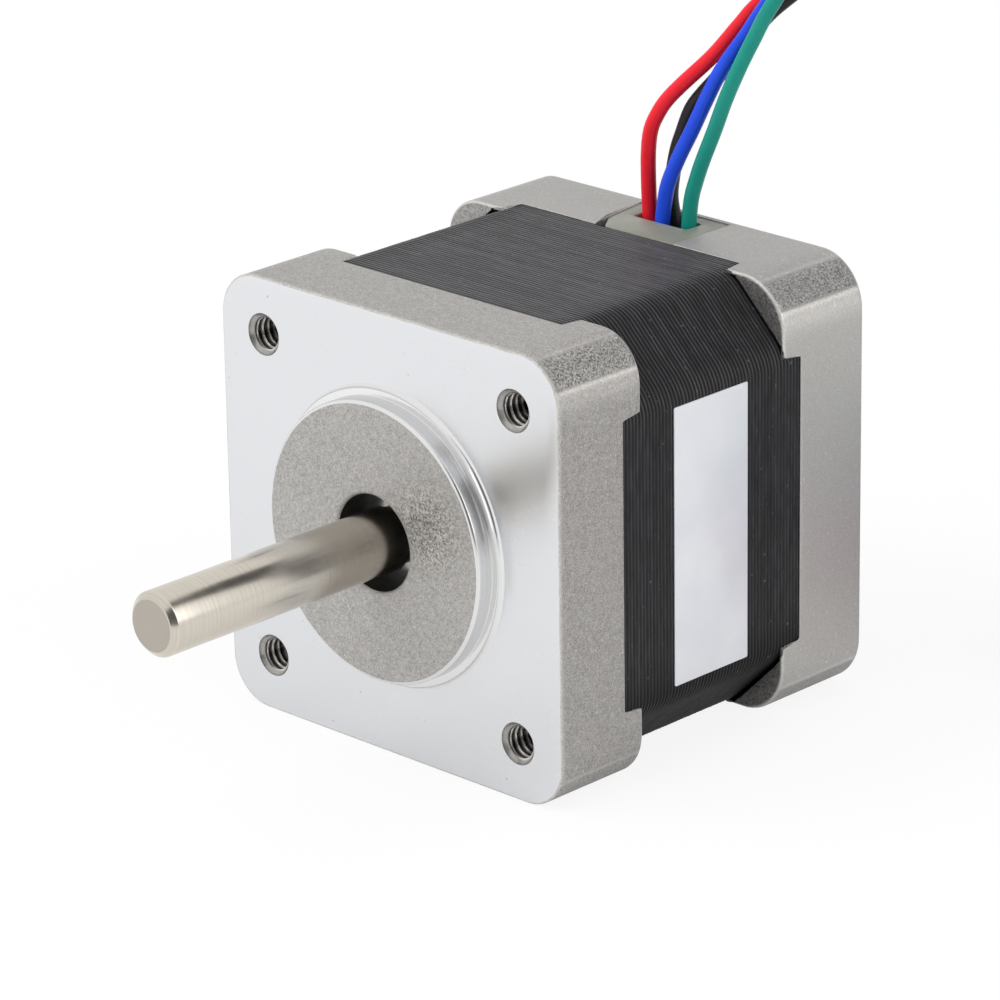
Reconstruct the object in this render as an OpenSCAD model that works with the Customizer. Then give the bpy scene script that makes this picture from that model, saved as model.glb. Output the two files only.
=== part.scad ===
/* [Body] */
// Width and height of the square body
body_w = 35; // [34.8:0.1:37]
// Length of the body from the mounting face to the rear face
body_l = 33.5; // [32:0.5:60]
// Radius of the long corners of both end bells
bell_corner_r = 3.7; // [3:0.1:4.4]
// Length of the front bell's side walls
front_bell_l = 6.8; // [6.8:0.1:9]
// Length of the rear bell's side walls
rear_bell_l = 7.1; // [7.1:0.1:9]
// Thickness of the end wall of each bell
bell_web_t = 3.3; // [2.6:0.1:3.5]
// Reach of the corner lugs over the stator
lug_reach = 2; // [1:0.1:3]
// Thin edge where a corner lug starts
lug_edge = 0.2; // [0.1:0.05:0.5]

/* [Mounting face] */
// Distance of the four mounting holes from the sides of the body
hole_inset = 4.5; // [4:0.1:5]
// Outer diameter of the mounting thread and of the screws
thread_d = 3; // [2.6:0.1:3]
// Root diameter of the mounting thread
thread_root_d = 2.5; // [2:0.05:2.55]
// Depth of thread that is free for the user's screws
thread_free_l = 4.6; // [3:0.1:5]
// Diameter of the countersunk mouth of a mounting hole
hole_mouth_d = 3.3; // [3:0.1:4]
// Diameter of the centring pilot
pilot_d = 22; // [20:0.1:22.5]
// Height of the centring pilot
pilot_h = 1.8; // [1.2:0.1:3]
// Chamfer on the rim of the pilot
pilot_chamfer = 0.17; // [0.05:0.01:0.3]
// Width of the ledge around the foot of the pilot
pilot_foot_w = 0.55; // [0.3:0.05:0.8]
// Height of the ledge around the foot of the pilot
pilot_foot_h = 0.36; // [0.2:0.02:0.6]
// Diameter of the opening around the shaft in the pilot
shaft_window_d = 7.5; // [7:0.1:9.5]
// Width and depth of the bevelled lip of the opening around the shaft
window_lip = 0.35; // [0.1:0.05:0.5]

/* [Shaft] */
// Diameter of the shaft
shaft_d = 5; // [4:0.1:5.2]
// Reach of the shaft in front of the mounting face
shaft_reach = 24; // [10:0.5:40]
// Chamfer on both ends of the shaft
shaft_chamfer = 0.45; // [0.1:0.05:0.8]
// Depth of the shaft's rear end below the rear face
shaft_rear_gap = 0.8; // [0.4:0.1:1.4]
// Width of the grinding relief in front of the front bearing
relief_w = 1.2; // [0.8:0.1:1.6]
// Depth of the grinding relief
relief_depth = 0.25; // [0.2:0.05:0.4]

/* [Bearings] */
// Outer diameter of each ball bearing
bearing_od = 13; // [12.6:0.1:13.4]
// Width of each ball bearing
bearing_w = 4; // [3.6:0.1:4.2]
// Number of balls in a bearing
ball_count = 7; // [5:1:8]
// Diameter of a ball
ball_d = 2; // [1.8:0.05:2.1]
// Thickness of the inner ring at its shoulders
inner_ring_t = 1.3; // [1:0.05:1.5]
// Thickness of the outer ring at its shoulders
outer_ring_t = 1.3; // [1:0.05:1.5]
// Running gap between a ball and its races
race_gap = 0.03; // [0.02:0.01:0.05]
// Gap between a ball and its pocket in the cage
pocket_gap = 0.08; // [0.05:0.01:0.12]
// Radial thickness of the ball cage
cage_t = 0.8; // [0.5:0.05:1]
// Rim of the ball cage beside each ball
cage_rim = 0.3; // [0.2:0.05:0.4]
// Thickness of a bearing shield
shield_t = 0.25; // [0.15:0.05:0.3]
// Depth of a shield below the bearing's face
shield_inset = 0.15; // [0.05:0.05:0.2]
// Gap between a shield and the inner ring
shield_gap = 0.15; // [0.1:0.05:0.3]
// Depth of the front bearing behind the mounting face
bearing_inset = 0.8; // [0.4:0.1:1]
// Wall of the hub around each bearing
hub_wall = 1; // [0.8:0.1:1.6]

/* [Rear end] */
// Wall behind the rear bearing
rear_wall_t = 1; // [0.8:0.1:1.3]
// Room for the wave washer behind the rear bearing
wave_room = 0.5; // [0.4:0.05:0.7]
// Thickness of the wave washer's sheet
wave_sheet_t = 0.2; // [0.1:0.05:0.25]
// Width of the wave washer's ring
wave_ring_w = 1.3; // [1:0.1:1.6]
// Diameter of the opening in the rear wall
rear_window_d = 8.4; // [7:0.1:9]

/* [Stator] */
// Depth of the stator's sides below the sides of the bells
stator_inset = 0.1; // [0.05:0.05:0.2]
// Leg of the chamfer on the stator's long corners
stator_chamfer = 5.3; // [4.5:0.1:5.5]
// Thickness of the yoke at the middle of each side
yoke_t = 3; // [2.6:0.1:3.2]
// Depth of the winding slots between the yoke and the pole shoes
slot_depth = 3.92; // [3.4:0.02:4.4]
// Number of stator poles
pole_count = 8; // [8:4:8]
// Width of a pole's neck
pole_neck_w = 3; // [2.6:0.1:3.3]
// Radial thickness of a pole's shoe
pole_shoe_t = 1.2; // [1:0.05:1.4]
// Number of teeth on a pole
pole_teeth = 6; // [4:1:6]
// Depth of the stator teeth
tooth_depth = 0.45; // [0.3:0.05:0.6]

/* [Windings] */
// Thickness of an insulator's plate
insulator_t = 0.6; // [0.4:0.05:0.7]
// Thickness of an insulator's outer wall
insulator_wall = 0.6; // [0.4:0.05:0.7]
// Height of an insulator's walls over its plate
insulator_rise = 2.3; // [2.1:0.1:2.5]
// Width of an insulator's inner tabs
tab_w = 6.2; // [5:0.1:6.4]
// Gap from the stator bore to the inner tabs
tab_gap = 0.3; // [0.2:0.05:0.4]
// Thickness of the slot liner beside a pole's neck
liner_t = 0.25; // [0.15:0.05:0.3]
// Gap between neighbouring windings
winding_gap = 0.6; // [0.4:0.02:2]
// Build-up of the wire over each end of a pole
coil_build = 1.8; // [1.4:0.1:2]

/* [Rotor] */
// Air gap between the rotor and stator teeth
air_gap = 0.08; // [0.05:0.01:0.12]
// Number of rotor teeth
rotor_teeth = 50; // [40:2:50]
// Depth of the rotor teeth
rotor_tooth_depth = 0.45; // [0.3:0.05:0.6]
// Thickness of the rotor magnet
magnet_t = 2.5; // [1.5:0.1:4]
// Depth of the rotor magnet's rim below the rotor's teeth
magnet_inset = 1.2; // [0.6:0.1:3]
// Diameter of the two spacers on the shaft
spacer_d = 7.2; // [6.4:0.1:7.4]

/* [Fasteners] */
// Diameter of a screw head
screw_head_d = 5.5; // [5:0.1:5.6]
// Height of a screw head
screw_head_h = 2; // [1.4:0.1:2.2]
// Thickness of a spring washer
spring_washer_t = 0.6; // [0.4:0.1:0.8]
// Slit in a spring washer
spring_washer_slit = 0.4; // [0.2:0.1:0.6]
// Width of the blades of the cross recess
cross_w = 0.7; // [0.4:0.1:0.9]
// Length of the blades of the cross recess
cross_l = 3; // [2.4:0.1:3.4]
// Depth of the cross recess
cross_h = 1.2; // [0.8:0.1:1.3]
// Diameter of the clearance holes for the screws
screw_hole_d = 3.2; // [3.1:0.05:3.3]
// Depth of a screw head below the rear face
head_sink = 0.2; // [0.1:0.05:0.4]

/* [Wire guide] */
// Width of the wire guide
guide_w = 9; // [8:0.1:9]
// Length of the wire guide along the motor
guide_l = 6.4; // [5.9:0.1:6.4]
// Thickness of the wire guide
guide_t = 2; // [1.6:0.1:2.1]
// Depth of the guide's top below the bell's side
guide_inset = 0.2; // [0.1:0.05:0.4]
// Width of the guide's well
well_w = 5.5; // [5.4:0.1:6]
// Length of the guide's well
well_l = 2.7; // [2.65:0.05:2.9]
// Wall of the guide behind the well
well_rear_wall = 0.3; // [0.3:0.05:0.5]

/* [Termination board] */
// Distance of the termination board's rim from the slot wall
board_inset = 1.4; // [1:0.1:2]
// Thickness of the termination board
board_t = 0.8; // [0.5:0.1:0.9]
// Width of a solder terminal
terminal_w = 0.8; // [0.6:0.1:1]
// Height of a solder terminal
terminal_h = 0.8; // [0.6:0.1:1]
// Length of a solder terminal
terminal_l = 2; // [1.6:0.1:2.2]
// Height of a solder terminal's top over the board's rim
terminal_rise = 0.1; // [0.05:0.05:0.2]

/* [Label] */
// Width of the label along the motor
label_w = 8.1; // [4:0.1:12]
// Height of the label
label_h = 22; // [10:0.5:22.4]
// Thickness of the label
label_t = 0.1; // [0.05:0.01:0.1]
// Distance of the label from the front end of the stator
label_setback = 5.5; // [1:0.1:8]

/* [Leads] */
// Diameter of a lead over its insulation
lead_d = 1.2; // [1:0.05:1.25]
// Length of a lead
lead_length = 300; // [280:5:310]
// Diameter of the tinned end of a lead
lead_tip_d = 0.6; // [0.4:0.05:0.8]
// Length of the tinned end of a lead
lead_tip_l = 4; // [2:0.5:6]
// Radius of the first turn of a put-away lead
coil_start_r = 9.1; // [8.8:0.1:9.6]
// Radial step of a put-away lead in each turn
coil_pitch = 1.9; // [1.85:0.05:2.1]
// Number of turns of the inward spiral
coil_turns_in = 2; // [1.5:0.25:2.25]
// Height of a layer of a put-away lead
coil_layer = 1.7; // [1.65:0.05:1.8]
// Height from one put-away lead to the next
coil_stack = 3.2; // [3.1:0.05:3.4]
// Thickness of the ties around the put-away leads
tie_t = 0.3; // [0.2:0.05:0.3]
// Width of a tie
tie_w = 1.6; // [1:0.1:2.5]
// Gap between a tie and the leads
tie_gap = 0.15; // [0.05:0.05:0.3]

/* [Hidden] */

$fn = 96;
// Overrun of every cut past the face it opens in
overrun = 0.5;
// Gap of pieces that slide together
slip_gap = 0.02;
// Gap between the stator and the lugs
seat_gap = 0.05;
// Gap around the wire guide in its notch
guide_gap = 0.1;
// Side room of the notch below the guide
notch_room = 0.25;
// Gap between the windings and the metal around them
coil_gap = 0.1;
// Gap between a screw head and its counterbore
head_gap = 0.25;
// Gap between the cavity of a bell and the insulator
cavity_gap = 0.2;
// Gap between the hub and the termination board
board_gap = 0.5;
// Distance of the rotor's ends inside the stator's ends
rotor_inset = 0.1;
// Gap between a screw's tip and the free thread
tip_gap = 0.2;
// Half the gap between the slot liners at the stator's middle
liner_split = 0.05;
// Corner radius of a winding
coil_corner_r = 1.2;

// Places along the motor, from the mounting face
stator_y0 = front_bell_l;
stator_y1 = body_l - rear_bell_l;
stator_mid = (stator_y0 + stator_y1) / 2;
front_bearing_y1 = bearing_inset + bearing_w;
rear_seat_l = rear_wall_t + wave_room + bearing_w;
rear_bearing_y0 = body_l - rear_seat_l;
rotor_y0 = stator_y0 + rotor_inset;
rotor_y1 = stator_y1 - rotor_inset;
magnet_y0 = (rotor_y0 + rotor_y1 - magnet_t) / 2;
magnet_y1 = magnet_y0 + magnet_t;
board_y0 = stator_y1 + insulator_t + insulator_rise;
board_y1 = board_y0 + board_t;
counterbore_l = screw_head_h + spring_washer_t + head_sink;
head_seat_y = body_l - counterbore_l;

// Radii and half widths across the motor
stator_half = body_w / 2 - stator_inset;
stator_flat = stator_half - stator_chamfer;
hole_pitch = body_w - 2 * hole_inset;
slot_r = stator_half - yoke_t;
shoe_r = slot_r - slot_depth;
bore_r = shoe_r - pole_shoe_t;
rotor_r = bore_r - air_gap;
wall_r = slot_r + insulator_wall;
cavity_r = wall_r + cavity_gap;
hub_r = bearing_od / 2 + hub_wall;
tooth_step = 360 / rotor_teeth;
pole_step = 360 / pole_count;
shoe_angle = tooth_step * (pole_teeth - 1) + tooth_step / 2;
neck_half = pole_neck_w / 2;
coil_hole_half = neck_half + liner_t + 2 * slip_gap;
coil_r0 = shoe_r + coil_gap;
coil_half = coil_r0 * tan(pole_step / 2) - winding_gap / 2;
coil_r1 = sqrt(slot_r * slot_r - coil_half * coil_half) - coil_gap;
coil_hole_l = stator_y1 - stator_y0 + 2 * (insulator_t + slip_gap);
inner_land_r = shaft_d / 2 + inner_ring_t;
outer_land_r = bearing_od / 2 - outer_ring_t;
ball_circle_r = (inner_land_r + outer_land_r) / 2;
magnet_r = rotor_r - magnet_inset;
board_r = slot_r - board_inset;
cage_half_l = ball_d / 2 + pocket_gap + cage_rim;

// Places of the wire guide
guide_y0 = stator_y1 + seat_gap;
guide_y1 = guide_y0 + guide_l;
guide_z1 = body_w / 2 - guide_inset;
guide_z0 = guide_z1 - guide_t;
well_y1 = guide_y1 - well_rear_wall;
well_y0 = well_y1 - well_l;

// Places of the leads. The lead plane is turned by lead_turn about the vertical,
// and a route point is the distance along it, the distance across it and the height.
lead_turn = 44;
lead_along = [cos(lead_turn), sin(lead_turn), 0];
lead_across = [-sin(lead_turn), cos(lead_turn), 0];
lead_sides = 8;
coil_sides = 6;
turn_rings = 24;
ring_gap = 3 * lead_d;
floor_z = -body_w / 2;
coil_foot_z = floor_z + tie_t + lead_d / 2;
coil_along = 61;
coil_across = 23;
lead_names = ["black", "red", "blue", "green"];
lead_colours = ["#1d1b1e", "#e01526", "#2246d8", "#14917f"];

route_black = [
    [22.5, 22.6, 13.1], [22.5, 22.6, 14.3], [22, 23.1, 17], [21.7, 23.3, 19], [21.9, 23.4, 21],
    [22.2, 23.4, 22.7], [22.6, 23.4, 24], [23.3, 23.5, 25.9], [24.1, 23.6, 27], [25.3, 23.8, 28.3],
    [27, 24.2, 30.3], [28.6, 24.5, 32.3], [30.5, 24.6, 34.1], [34.9, 24.3, 37.4],
    [39.1, 23.9, 39.4], [43.8, 23.5, 39], [47.6, 23.2, 36.3], [49.6, 23, 32], [50.1, 23, 20],
    [50.1, 23, 8], [50, 23, -2], [50, 23, -9.9], [50.7, 23, -12.4], [52.5, 23, -14.2],
    [55, 23, -14.9], [57.5, 23, -14.9]
];
route_red = [
    [20.2, 23.8, 13.1], [20.2, 23.8, 14.3], [20.1, 23.8, 17], [20, 23.9, 20], [20, 23.9, 22.5],
    [20.2, 23.9, 24.2], [20.7, 23.9, 25.4], [21.4, 23.9, 26.5], [22.6, 23.8, 27.8],
    [25, 23.7, 30.1], [27, 23.6, 32.5], [28.7, 23.5, 34.4], [33.3, 23.6, 38], [38, 23.4, 40.6],
    [43.4, 23.2, 40.6], [48.1, 23, 37.9], [50.8, 23, 33.2], [51.6, 23, 20], [51.6, 23, 8],
    [51.5, 23, -2], [51.5, 23, -6.7], [52.2, 23, -9.2], [54, 23, -11], [56.5, 23, -11.7],
    [58.2, 23, -11.7]
];
route_blue = [
    [21, 22.6, 13.1], [21, 22.6, 14.3], [21, 22.2, 17], [21.2, 22.1, 19], [21.5, 22.1, 20.5],
    [22.3, 22.1, 22.5], [23.3, 22.1, 24.6], [24.4, 22.2, 27], [25.6, 22.2, 29.4],
    [27.4, 22.2, 32], [29.2, 22.2, 34.7], [33, 22.3, 39.6], [37.6, 22.5, 42.1],
    [43.8, 22.8, 42.1], [49.2, 23, 39], [52.3, 23, 33.6], [53.1, 23, 20], [53.1, 23, 8],
    [53, 23, 0], [53, 23, -3.5], [53.7, 23, -6], [55.5, 23, -7.8], [58, 23, -8.5]
];
route_green = [
    [23, 21, 13.1], [23, 21, 14.3], [23, 21, 17], [23.2, 21, 19.4], [23.6, 21, 21],
    [24.1, 20.9, 22.6], [25, 20.9, 25], [25.8, 20.9, 27.3], [26.8, 20.9, 29.7], [27.9, 20.9, 32],
    [29.5, 20.9, 35], [33.8, 21.2, 41.2], [38.8, 21.8, 43.8], [45.3, 22.4, 43.2],
    [50.7, 22.9, 39.5], [53.8, 23, 33.8], [54.6, 23, 20], [54.6, 23, 8], [54.5, 23, 3],
    [54.5, 23, -0.3], [55.2, 23, -2.8], [57, 23, -4.6], [59.5, 23, -5.3]
];
routes = [route_black, route_red, route_blue, route_green];

// Functions for the leads

function turned(p) = p[0] * lead_along + p[1] * lead_across + [0, 0, p[2]];

function unit(v) = v / norm(v);

// Height of the upper layer of put-away lead i, where the lead runs in
function entry_z(i) = coil_foot_z + i * coil_stack + coil_layer;

function entry_point(i) = turned([coil_along, coil_across, entry_z(i)]);

function route(i) = concat([for (p = routes[i]) turned(p)], [entry_point(i)]);

// Point at share u between b and c on a curve through a, b, c and d
function between(a, b, c, d, u) =
    b + u / 2 * ((c - a) + u * (2 * a - 5 * b + 4 * c - d + u * (3 * b - 3 * c + d - a)));

// Smooth curve through the points, with a ring about every ring_gap
function smooth(p) =
    let (last = len(p) - 1)
    concat(
        [for (i = [0:last - 1])
            let (
                a = i > 0 ? p[i - 1] : 2 * p[0] - p[1],
                d = i < last - 1 ? p[i + 2] : 2 * p[last] - p[last - 1],
                steps = max(1, round(norm(p[i + 1] - p[i]) / ring_gap))
            )
            for (k = [0:steps - 1]) between(a, p[i], p[i + 1], d, k / steps)],
        [p[last]]
    );

function path_length(p) = len(p) < 2 ? 0 : sum([for (i = [1:len(p) - 1]) norm(p[i] - p[i - 1])]);

function sum(v) = v * [for (x = v) 1];

// Lengths of the inward spiral, the half turn and the outward spiral
coil_inner_r = coil_start_r - coil_pitch * coil_turns_in;
inward_l = PI * (coil_start_r + coil_inner_r) * coil_turns_in;
half_turn_l = PI * coil_inner_r;

function outward_l(i) =
    lead_length - lead_tip_l - path_length(smooth(route(i))) - inward_l - half_turn_l - 2 * lead_d;

// Turns of the outward spiral, from the length that is left for it
function outward_turns(i) =
    (sqrt(coil_inner_r * coil_inner_r + coil_pitch * outward_l(i) / PI) - coil_inner_r) / coil_pitch;

function coil_turns(i) = coil_turns_in + 1 / 2 + outward_turns(i);

// Radius after n turns: in, round the half turn, and out again
function coil_r(n) =
    coil_inner_r + coil_pitch * max(coil_turns_in - n, n - coil_turns_in - 1 / 2, 0);

// Drop after n turns: one layer in the half turn
function coil_drop(n) = coil_layer * min(max(2 * (n - coil_turns_in), 0), 1);

// Point of put-away lead i after n turns, wound clockwise as seen from above
function coil_point(i, n) =
    turned([coil_along, coil_across - coil_start_r, entry_z(i) - coil_drop(n)])
    + coil_r(n) * (sin(360 * n) * lead_along + cos(360 * n) * lead_across) + lead_d * lead_along;

function coil_path(i) =
    let (
        turns = coil_turns(i),
        steps = round(turns * turn_rings),
        bends = [for (k = [0:steps]) coil_point(i, turns * k / steps)],
        heading = unit(bends[steps] - bends[steps - 1])
    )
    concat([entry_point(i)], bends, [bends[steps] + lead_d * heading]);

function last(v) = v[len(v) - 1];

function before_last(v) = v[len(v) - 2];

// Smallest gap of the coil to itself, between points more than half a turn apart
function self_gap(p) =
    min([for (i = [0:len(p) - 1], j = [i + turn_rings / 2:1:len(p) - 1]) norm(p[i] - p[j])]) - lead_d;

// Basic solids

module slab(y0, y1) {
    translate([0, y1, 0]) rotate([90, 0, 0]) linear_extrude(y1 - y0) children();
}

module rod(y0, y1, r0, r1) {
    translate([0, y0, 0]) rotate([-90, 0, 0]) cylinder(h = y1 - y0, r1 = r0, r2 = r1);
}

module sleeve(y0, y1, r_in, r_out) {
    slab(y0, y1) ring(r_in, r_out);
}

module ring(r_in, r_out) {
    difference() {
        circle(r_out);
        circle(r_in);
    }
}

module block(x0, x1, y0, y1, z0, z1) {
    translate([x0, y0, z0]) cube([x1 - x0, y1 - y0, z1 - z0]);
}

module at_holes() {
    for (sx = [-1, 1], sz = [-1, 1])
        translate([sx * hole_pitch / 2, 0, sz * hole_pitch / 2]) children();
}

module at_poles() {
    for (i = [0:pole_count - 1]) rotate([0, i * pole_step, 0]) children();
}

module around_poles() {
    for (i = [0:pole_count - 1]) rotate(i * pole_step) children();
}

module mirrored_at(y) {
    translate([0, 2 * y, 0]) mirror([0, 1, 0]) children();
}

module round_box(w, l, r) {
    square([w - 2 * r, l], center = true);
    square([w, l - 2 * r], center = true);
    for (sx = [-1, 1], sy = [-1, 1])
        translate([sx * (w / 2 - r), sy * (l / 2 - r)]) circle(r);
}

module octagon(half, leg) {
    flat = half - leg;
    polygon([
        [flat, half], [half, flat], [half, -flat], [flat, -half],
        [-flat, -half], [-half, -flat], [-half, flat], [-flat, half]
    ]);
}

// Tube through the points p, whose rings keep one corner towards up
module tube(p, d, sides, up) {
    n = len(p);
    rings = [for (i = [0:n - 1])
        let (
            heading = unit(p[min(i + 1, n - 1)] - p[max(i - 1, 0)]),
            side = unit(cross(heading, up)),
            top = cross(side, heading)
        )
        for (k = [0:sides - 1])
            p[i] + d / 2 * (cos(360 * k / sides) * top + sin(360 * k / sides) * side)];
    walls = [for (i = [0:n - 2], k = [0:sides - 1])
        let (a = i * sides + k, b = i * sides + (k + 1) % sides)
        each [[a, b + sides, b], [a, a + sides, b + sides]]];
    polyhedron(
        points = rings,
        faces = concat(
            walls,
            [[for (k = [0:sides - 1]) k]],
            [[for (k = [0:sides - 1]) n * sides - 1 - k]]
        )
    );
}

// End bells

module bell_outline() {
    round_box(body_w, body_w, bell_corner_r);
}

// Room for the stator between the lugs, open between them on all four sides
module stator_seat() {
    window = 2 * (stator_flat + lug_edge);
    octagon(stator_half + seat_gap, stator_chamfer);
    square([window, body_w + overrun], center = true);
    square([body_w + overrun, window], center = true);
}

module bell_blank(side_l, seat_l) {
    difference() {
        slab(0, side_l + lug_reach) bell_outline();
        slab(side_l, side_l + lug_reach + overrun) stator_seat();
        slab(bell_web_t, seat_l) ring(hub_r, cavity_r);
        slab(seat_l, side_l + overrun) circle(cavity_r);
    }
}

module pilot() {
    pilot_r = pilot_d / 2;
    foot_r = pilot_r + pilot_foot_w;
    rod(-pilot_h, pilot_chamfer - pilot_h, pilot_r - pilot_chamfer, pilot_r);
    rod(pilot_chamfer - pilot_h, overrun, pilot_r, pilot_r);
    rod(-pilot_foot_h, overrun, foot_r, foot_r + pilot_foot_h + overrun);
}

module tapped_hole() {
    root_r = thread_root_d / 2;
    mouth_r = hole_mouth_d / 2;
    screw_r = thread_d / 2 + slip_gap;
    rod(-overrun, thread_free_l + overrun, root_r, root_r);
    rod(thread_free_l, front_bell_l + overrun, screw_r, screw_r);
    rod(-overrun, mouth_r - root_r, mouth_r + overrun, root_r);
}

module front_bell() {
    seat_r = bearing_od / 2;
    window_r = shaft_window_d / 2;
    color("#c9c8c6")
    difference() {
        union() {
            bell_blank(front_bell_l, front_bearing_y1);
            pilot();
        }
        rod(bearing_inset, front_bearing_y1 + overrun, seat_r, seat_r);
        rod(-pilot_h - overrun, bearing_inset + overrun, window_r, window_r);
        rod(-pilot_h - overrun, window_lip - pilot_h, window_r + window_lip + overrun, window_r);
        at_holes() tapped_hole();
    }
}

module rear_bell() {
    seat_r = bearing_od / 2;
    window_r = rear_window_d / 2;
    hole_r = screw_hole_d / 2;
    head_r = screw_head_d / 2 + head_gap;
    guide_half = guide_w / 2 + guide_gap;
    well_half = well_w / 2 + notch_room;
    color("#a9a7a3")
    difference() {
        mirrored_at(body_l / 2) bell_blank(rear_bell_l, rear_seat_l);
        rod(rear_bearing_y0 - overrun, body_l - rear_wall_t, seat_r, seat_r);
        rod(rear_bearing_y0, body_l + overrun, window_r, window_r);
        at_holes() rod(stator_y1 - overrun, body_l + overrun, hole_r, hole_r);
        at_holes() rod(head_seat_y, body_l + overrun, head_r, head_r);
        block(-guide_half, guide_half, stator_y1 - overrun, guide_y1 + guide_gap,
            guide_z0, body_w / 2 + overrun);
        block(-well_half, well_half, board_y0, guide_y1,
            board_r - terminal_h - notch_room, guide_z0 + overrun);
    }
}

// Stator and windings

module slots() {
    difference() {
        ring(shoe_r, slot_r);
        around_poles() translate([-neck_half, 0]) square([pole_neck_w, slot_r + overrun]);
    }
    around_poles() rotate(pole_step / 2) polygon([
        [0, 0],
        (shoe_r + overrun) * [-tan((pole_step - shoe_angle) / 2), 1],
        (shoe_r + overrun) * [tan((pole_step - shoe_angle) / 2), 1]
    ]);
}

// Grooves between the teeth of every pole
module tooth_grooves() {
    groove_w = bore_r * 2 * sin(tooth_step / 4);
    around_poles()
        for (i = [1:pole_teeth - 1])
            rotate((i - pole_teeth / 2) * tooth_step)
                translate([-groove_w / 2, 0]) square([groove_w, bore_r + tooth_depth]);
}

module stator_core() {
    color("#2b2b2e")
    slab(stator_y0, stator_y1)
    difference() {
        octagon(stator_half, stator_chamfer);
        circle(bore_r);
        slots();
        tooth_grooves();
        for (sx = [-1, 1], sz = [-1, 1])
            translate([sx * hole_pitch / 2, sz * hole_pitch / 2]) circle(screw_hole_d / 2);
    }
}

// Outer wall, inner tabs, a bar over each pole's neck and liners down its sides
module insulator() {
    bar_y0 = stator_y0 - insulator_t;
    wall_y0 = bar_y0 - insulator_rise;
    bar_half = neck_half + slip_gap + liner_t;
    tab_r = bore_r + tab_gap;
    color("#e8e4d6") {
        sleeve(wall_y0, stator_y0, slot_r, wall_r);
        at_poles() {
            difference() {
                block(-tab_w / 2, tab_w / 2, wall_y0, stator_y0, 0, shoe_r);
                rod(wall_y0 - overrun, stator_y0 + overrun, tab_r, tab_r);
            }
            block(-bar_half, bar_half, bar_y0, stator_y0, (tab_r + shoe_r) / 2,
                (slot_r + wall_r) / 2);
            for (side = [0, 1]) mirror([side, 0, 0])
                block(neck_half + slip_gap, bar_half, bar_y0, stator_mid - liner_split,
                    shoe_r + coil_gap, slot_r - coil_gap);
        }
    }
}

module front_insulator() {
    insulator();
}

module rear_insulator() {
    mirrored_at(stator_mid) insulator();
}

// Winding of pole i, a flat rectangular bundle round the pole's neck
module pole_coil(i) {
    color("#b5652b")
    rotate([0, i * pole_step, 0])
        translate([0, stator_mid, coil_r0])
            linear_extrude(coil_r1 - coil_r0)
                difference() {
                    round_box(2 * coil_half, coil_hole_l + 2 * coil_build, coil_corner_r);
                    square([2 * coil_hole_half, coil_hole_l], center = true);
                }
}

module termination_board() {
    color("#2f6b3f") sleeve(board_y0, board_y1, hub_r + board_gap, board_r);
}

module lead_terminals() {
    top_z = board_r + terminal_rise;
    color("#c8c8cc")
    for (i = [0:len(routes) - 1]) {
        foot_x = turned(routes[i][0])[0];
        block(foot_x - terminal_w / 2, foot_x + terminal_w / 2, board_y1, board_y1 + terminal_l,
            top_z - terminal_h, top_z);
    }
}

module wire_guide() {
    color("#d5d3c2")
    difference() {
        block(-guide_w / 2, guide_w / 2, guide_y0, guide_y1, guide_z0, guide_z1);
        block(-well_w / 2, well_w / 2, well_y0, well_y1, guide_z0 - overrun, guide_z1 + overrun);
    }
}

module label() {
    label_y0 = stator_y0 + label_setback;
    color("#e9ecf2")
    block(stator_half, stator_half + label_t, label_y0, label_y0 + label_w,
        -label_h / 2, label_h / 2);
}

// Screws and washers

module through_screw() {
    screw_r = thread_d / 2;
    head_r = screw_head_d / 2;
    head_y0 = head_seat_y + spring_washer_t;
    head_y1 = head_y0 + screw_head_h;
    rod(thread_free_l + tip_gap, head_y0 + overrun, screw_r, screw_r);
    difference() {
        rod(head_y0, head_y1, head_r, head_r);
        block(-cross_w / 2, cross_w / 2, head_y1 - cross_h, head_y1 + overrun,
            -cross_l / 2, cross_l / 2);
        block(-cross_l / 2, cross_l / 2, head_y1 - cross_h, head_y1 + overrun,
            -cross_w / 2, cross_w / 2);
    }
}

module through_screws() {
    color("#8f9094") at_holes() through_screw();
}

module spring_washers() {
    color("#77787c")
    at_holes()
        difference() {
            sleeve(head_seat_y, head_seat_y + spring_washer_t, screw_hole_d / 2, screw_head_d / 2);
            block(-spring_washer_slit / 2, spring_washer_slit / 2, head_seat_y - overrun,
                body_l, 0, screw_head_d);
        }
}

// Thin ring whose height follows three waves between the bearing and the rear wall
module wave_washer() {
    parts = 48;
    waves = 3;
    r_out = bearing_od / 2 - seat_gap;
    r_in = r_out - wave_ring_w;
    y_mid = body_l - rear_wall_t - wave_room / 2;
    swing = (wave_room - wave_sheet_t) / 2;
    corners = [[r_in, -1], [r_out, -1], [r_out, 1], [r_in, 1]];
    points = [for (i = [0:parts - 1], c = corners)
        let (a = 360 * i / parts)
        [c[0] * cos(a), y_mid + swing * cos(waves * a) + c[1] * wave_sheet_t / 2, c[0] * sin(a)]];
    faces = [for (i = [0:parts - 1], k = [0:3])
        let (a = 4 * i + k, b = 4 * i + (k + 1) % 4, c = 4 * ((i + 1) % parts))
        each [[a, b, c + (k + 1) % 4], [a, c + (k + 1) % 4, c + k]]];
    color("#9a9ba0") polyhedron(points = points, faces = faces);
}

// Shaft and rotor

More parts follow.
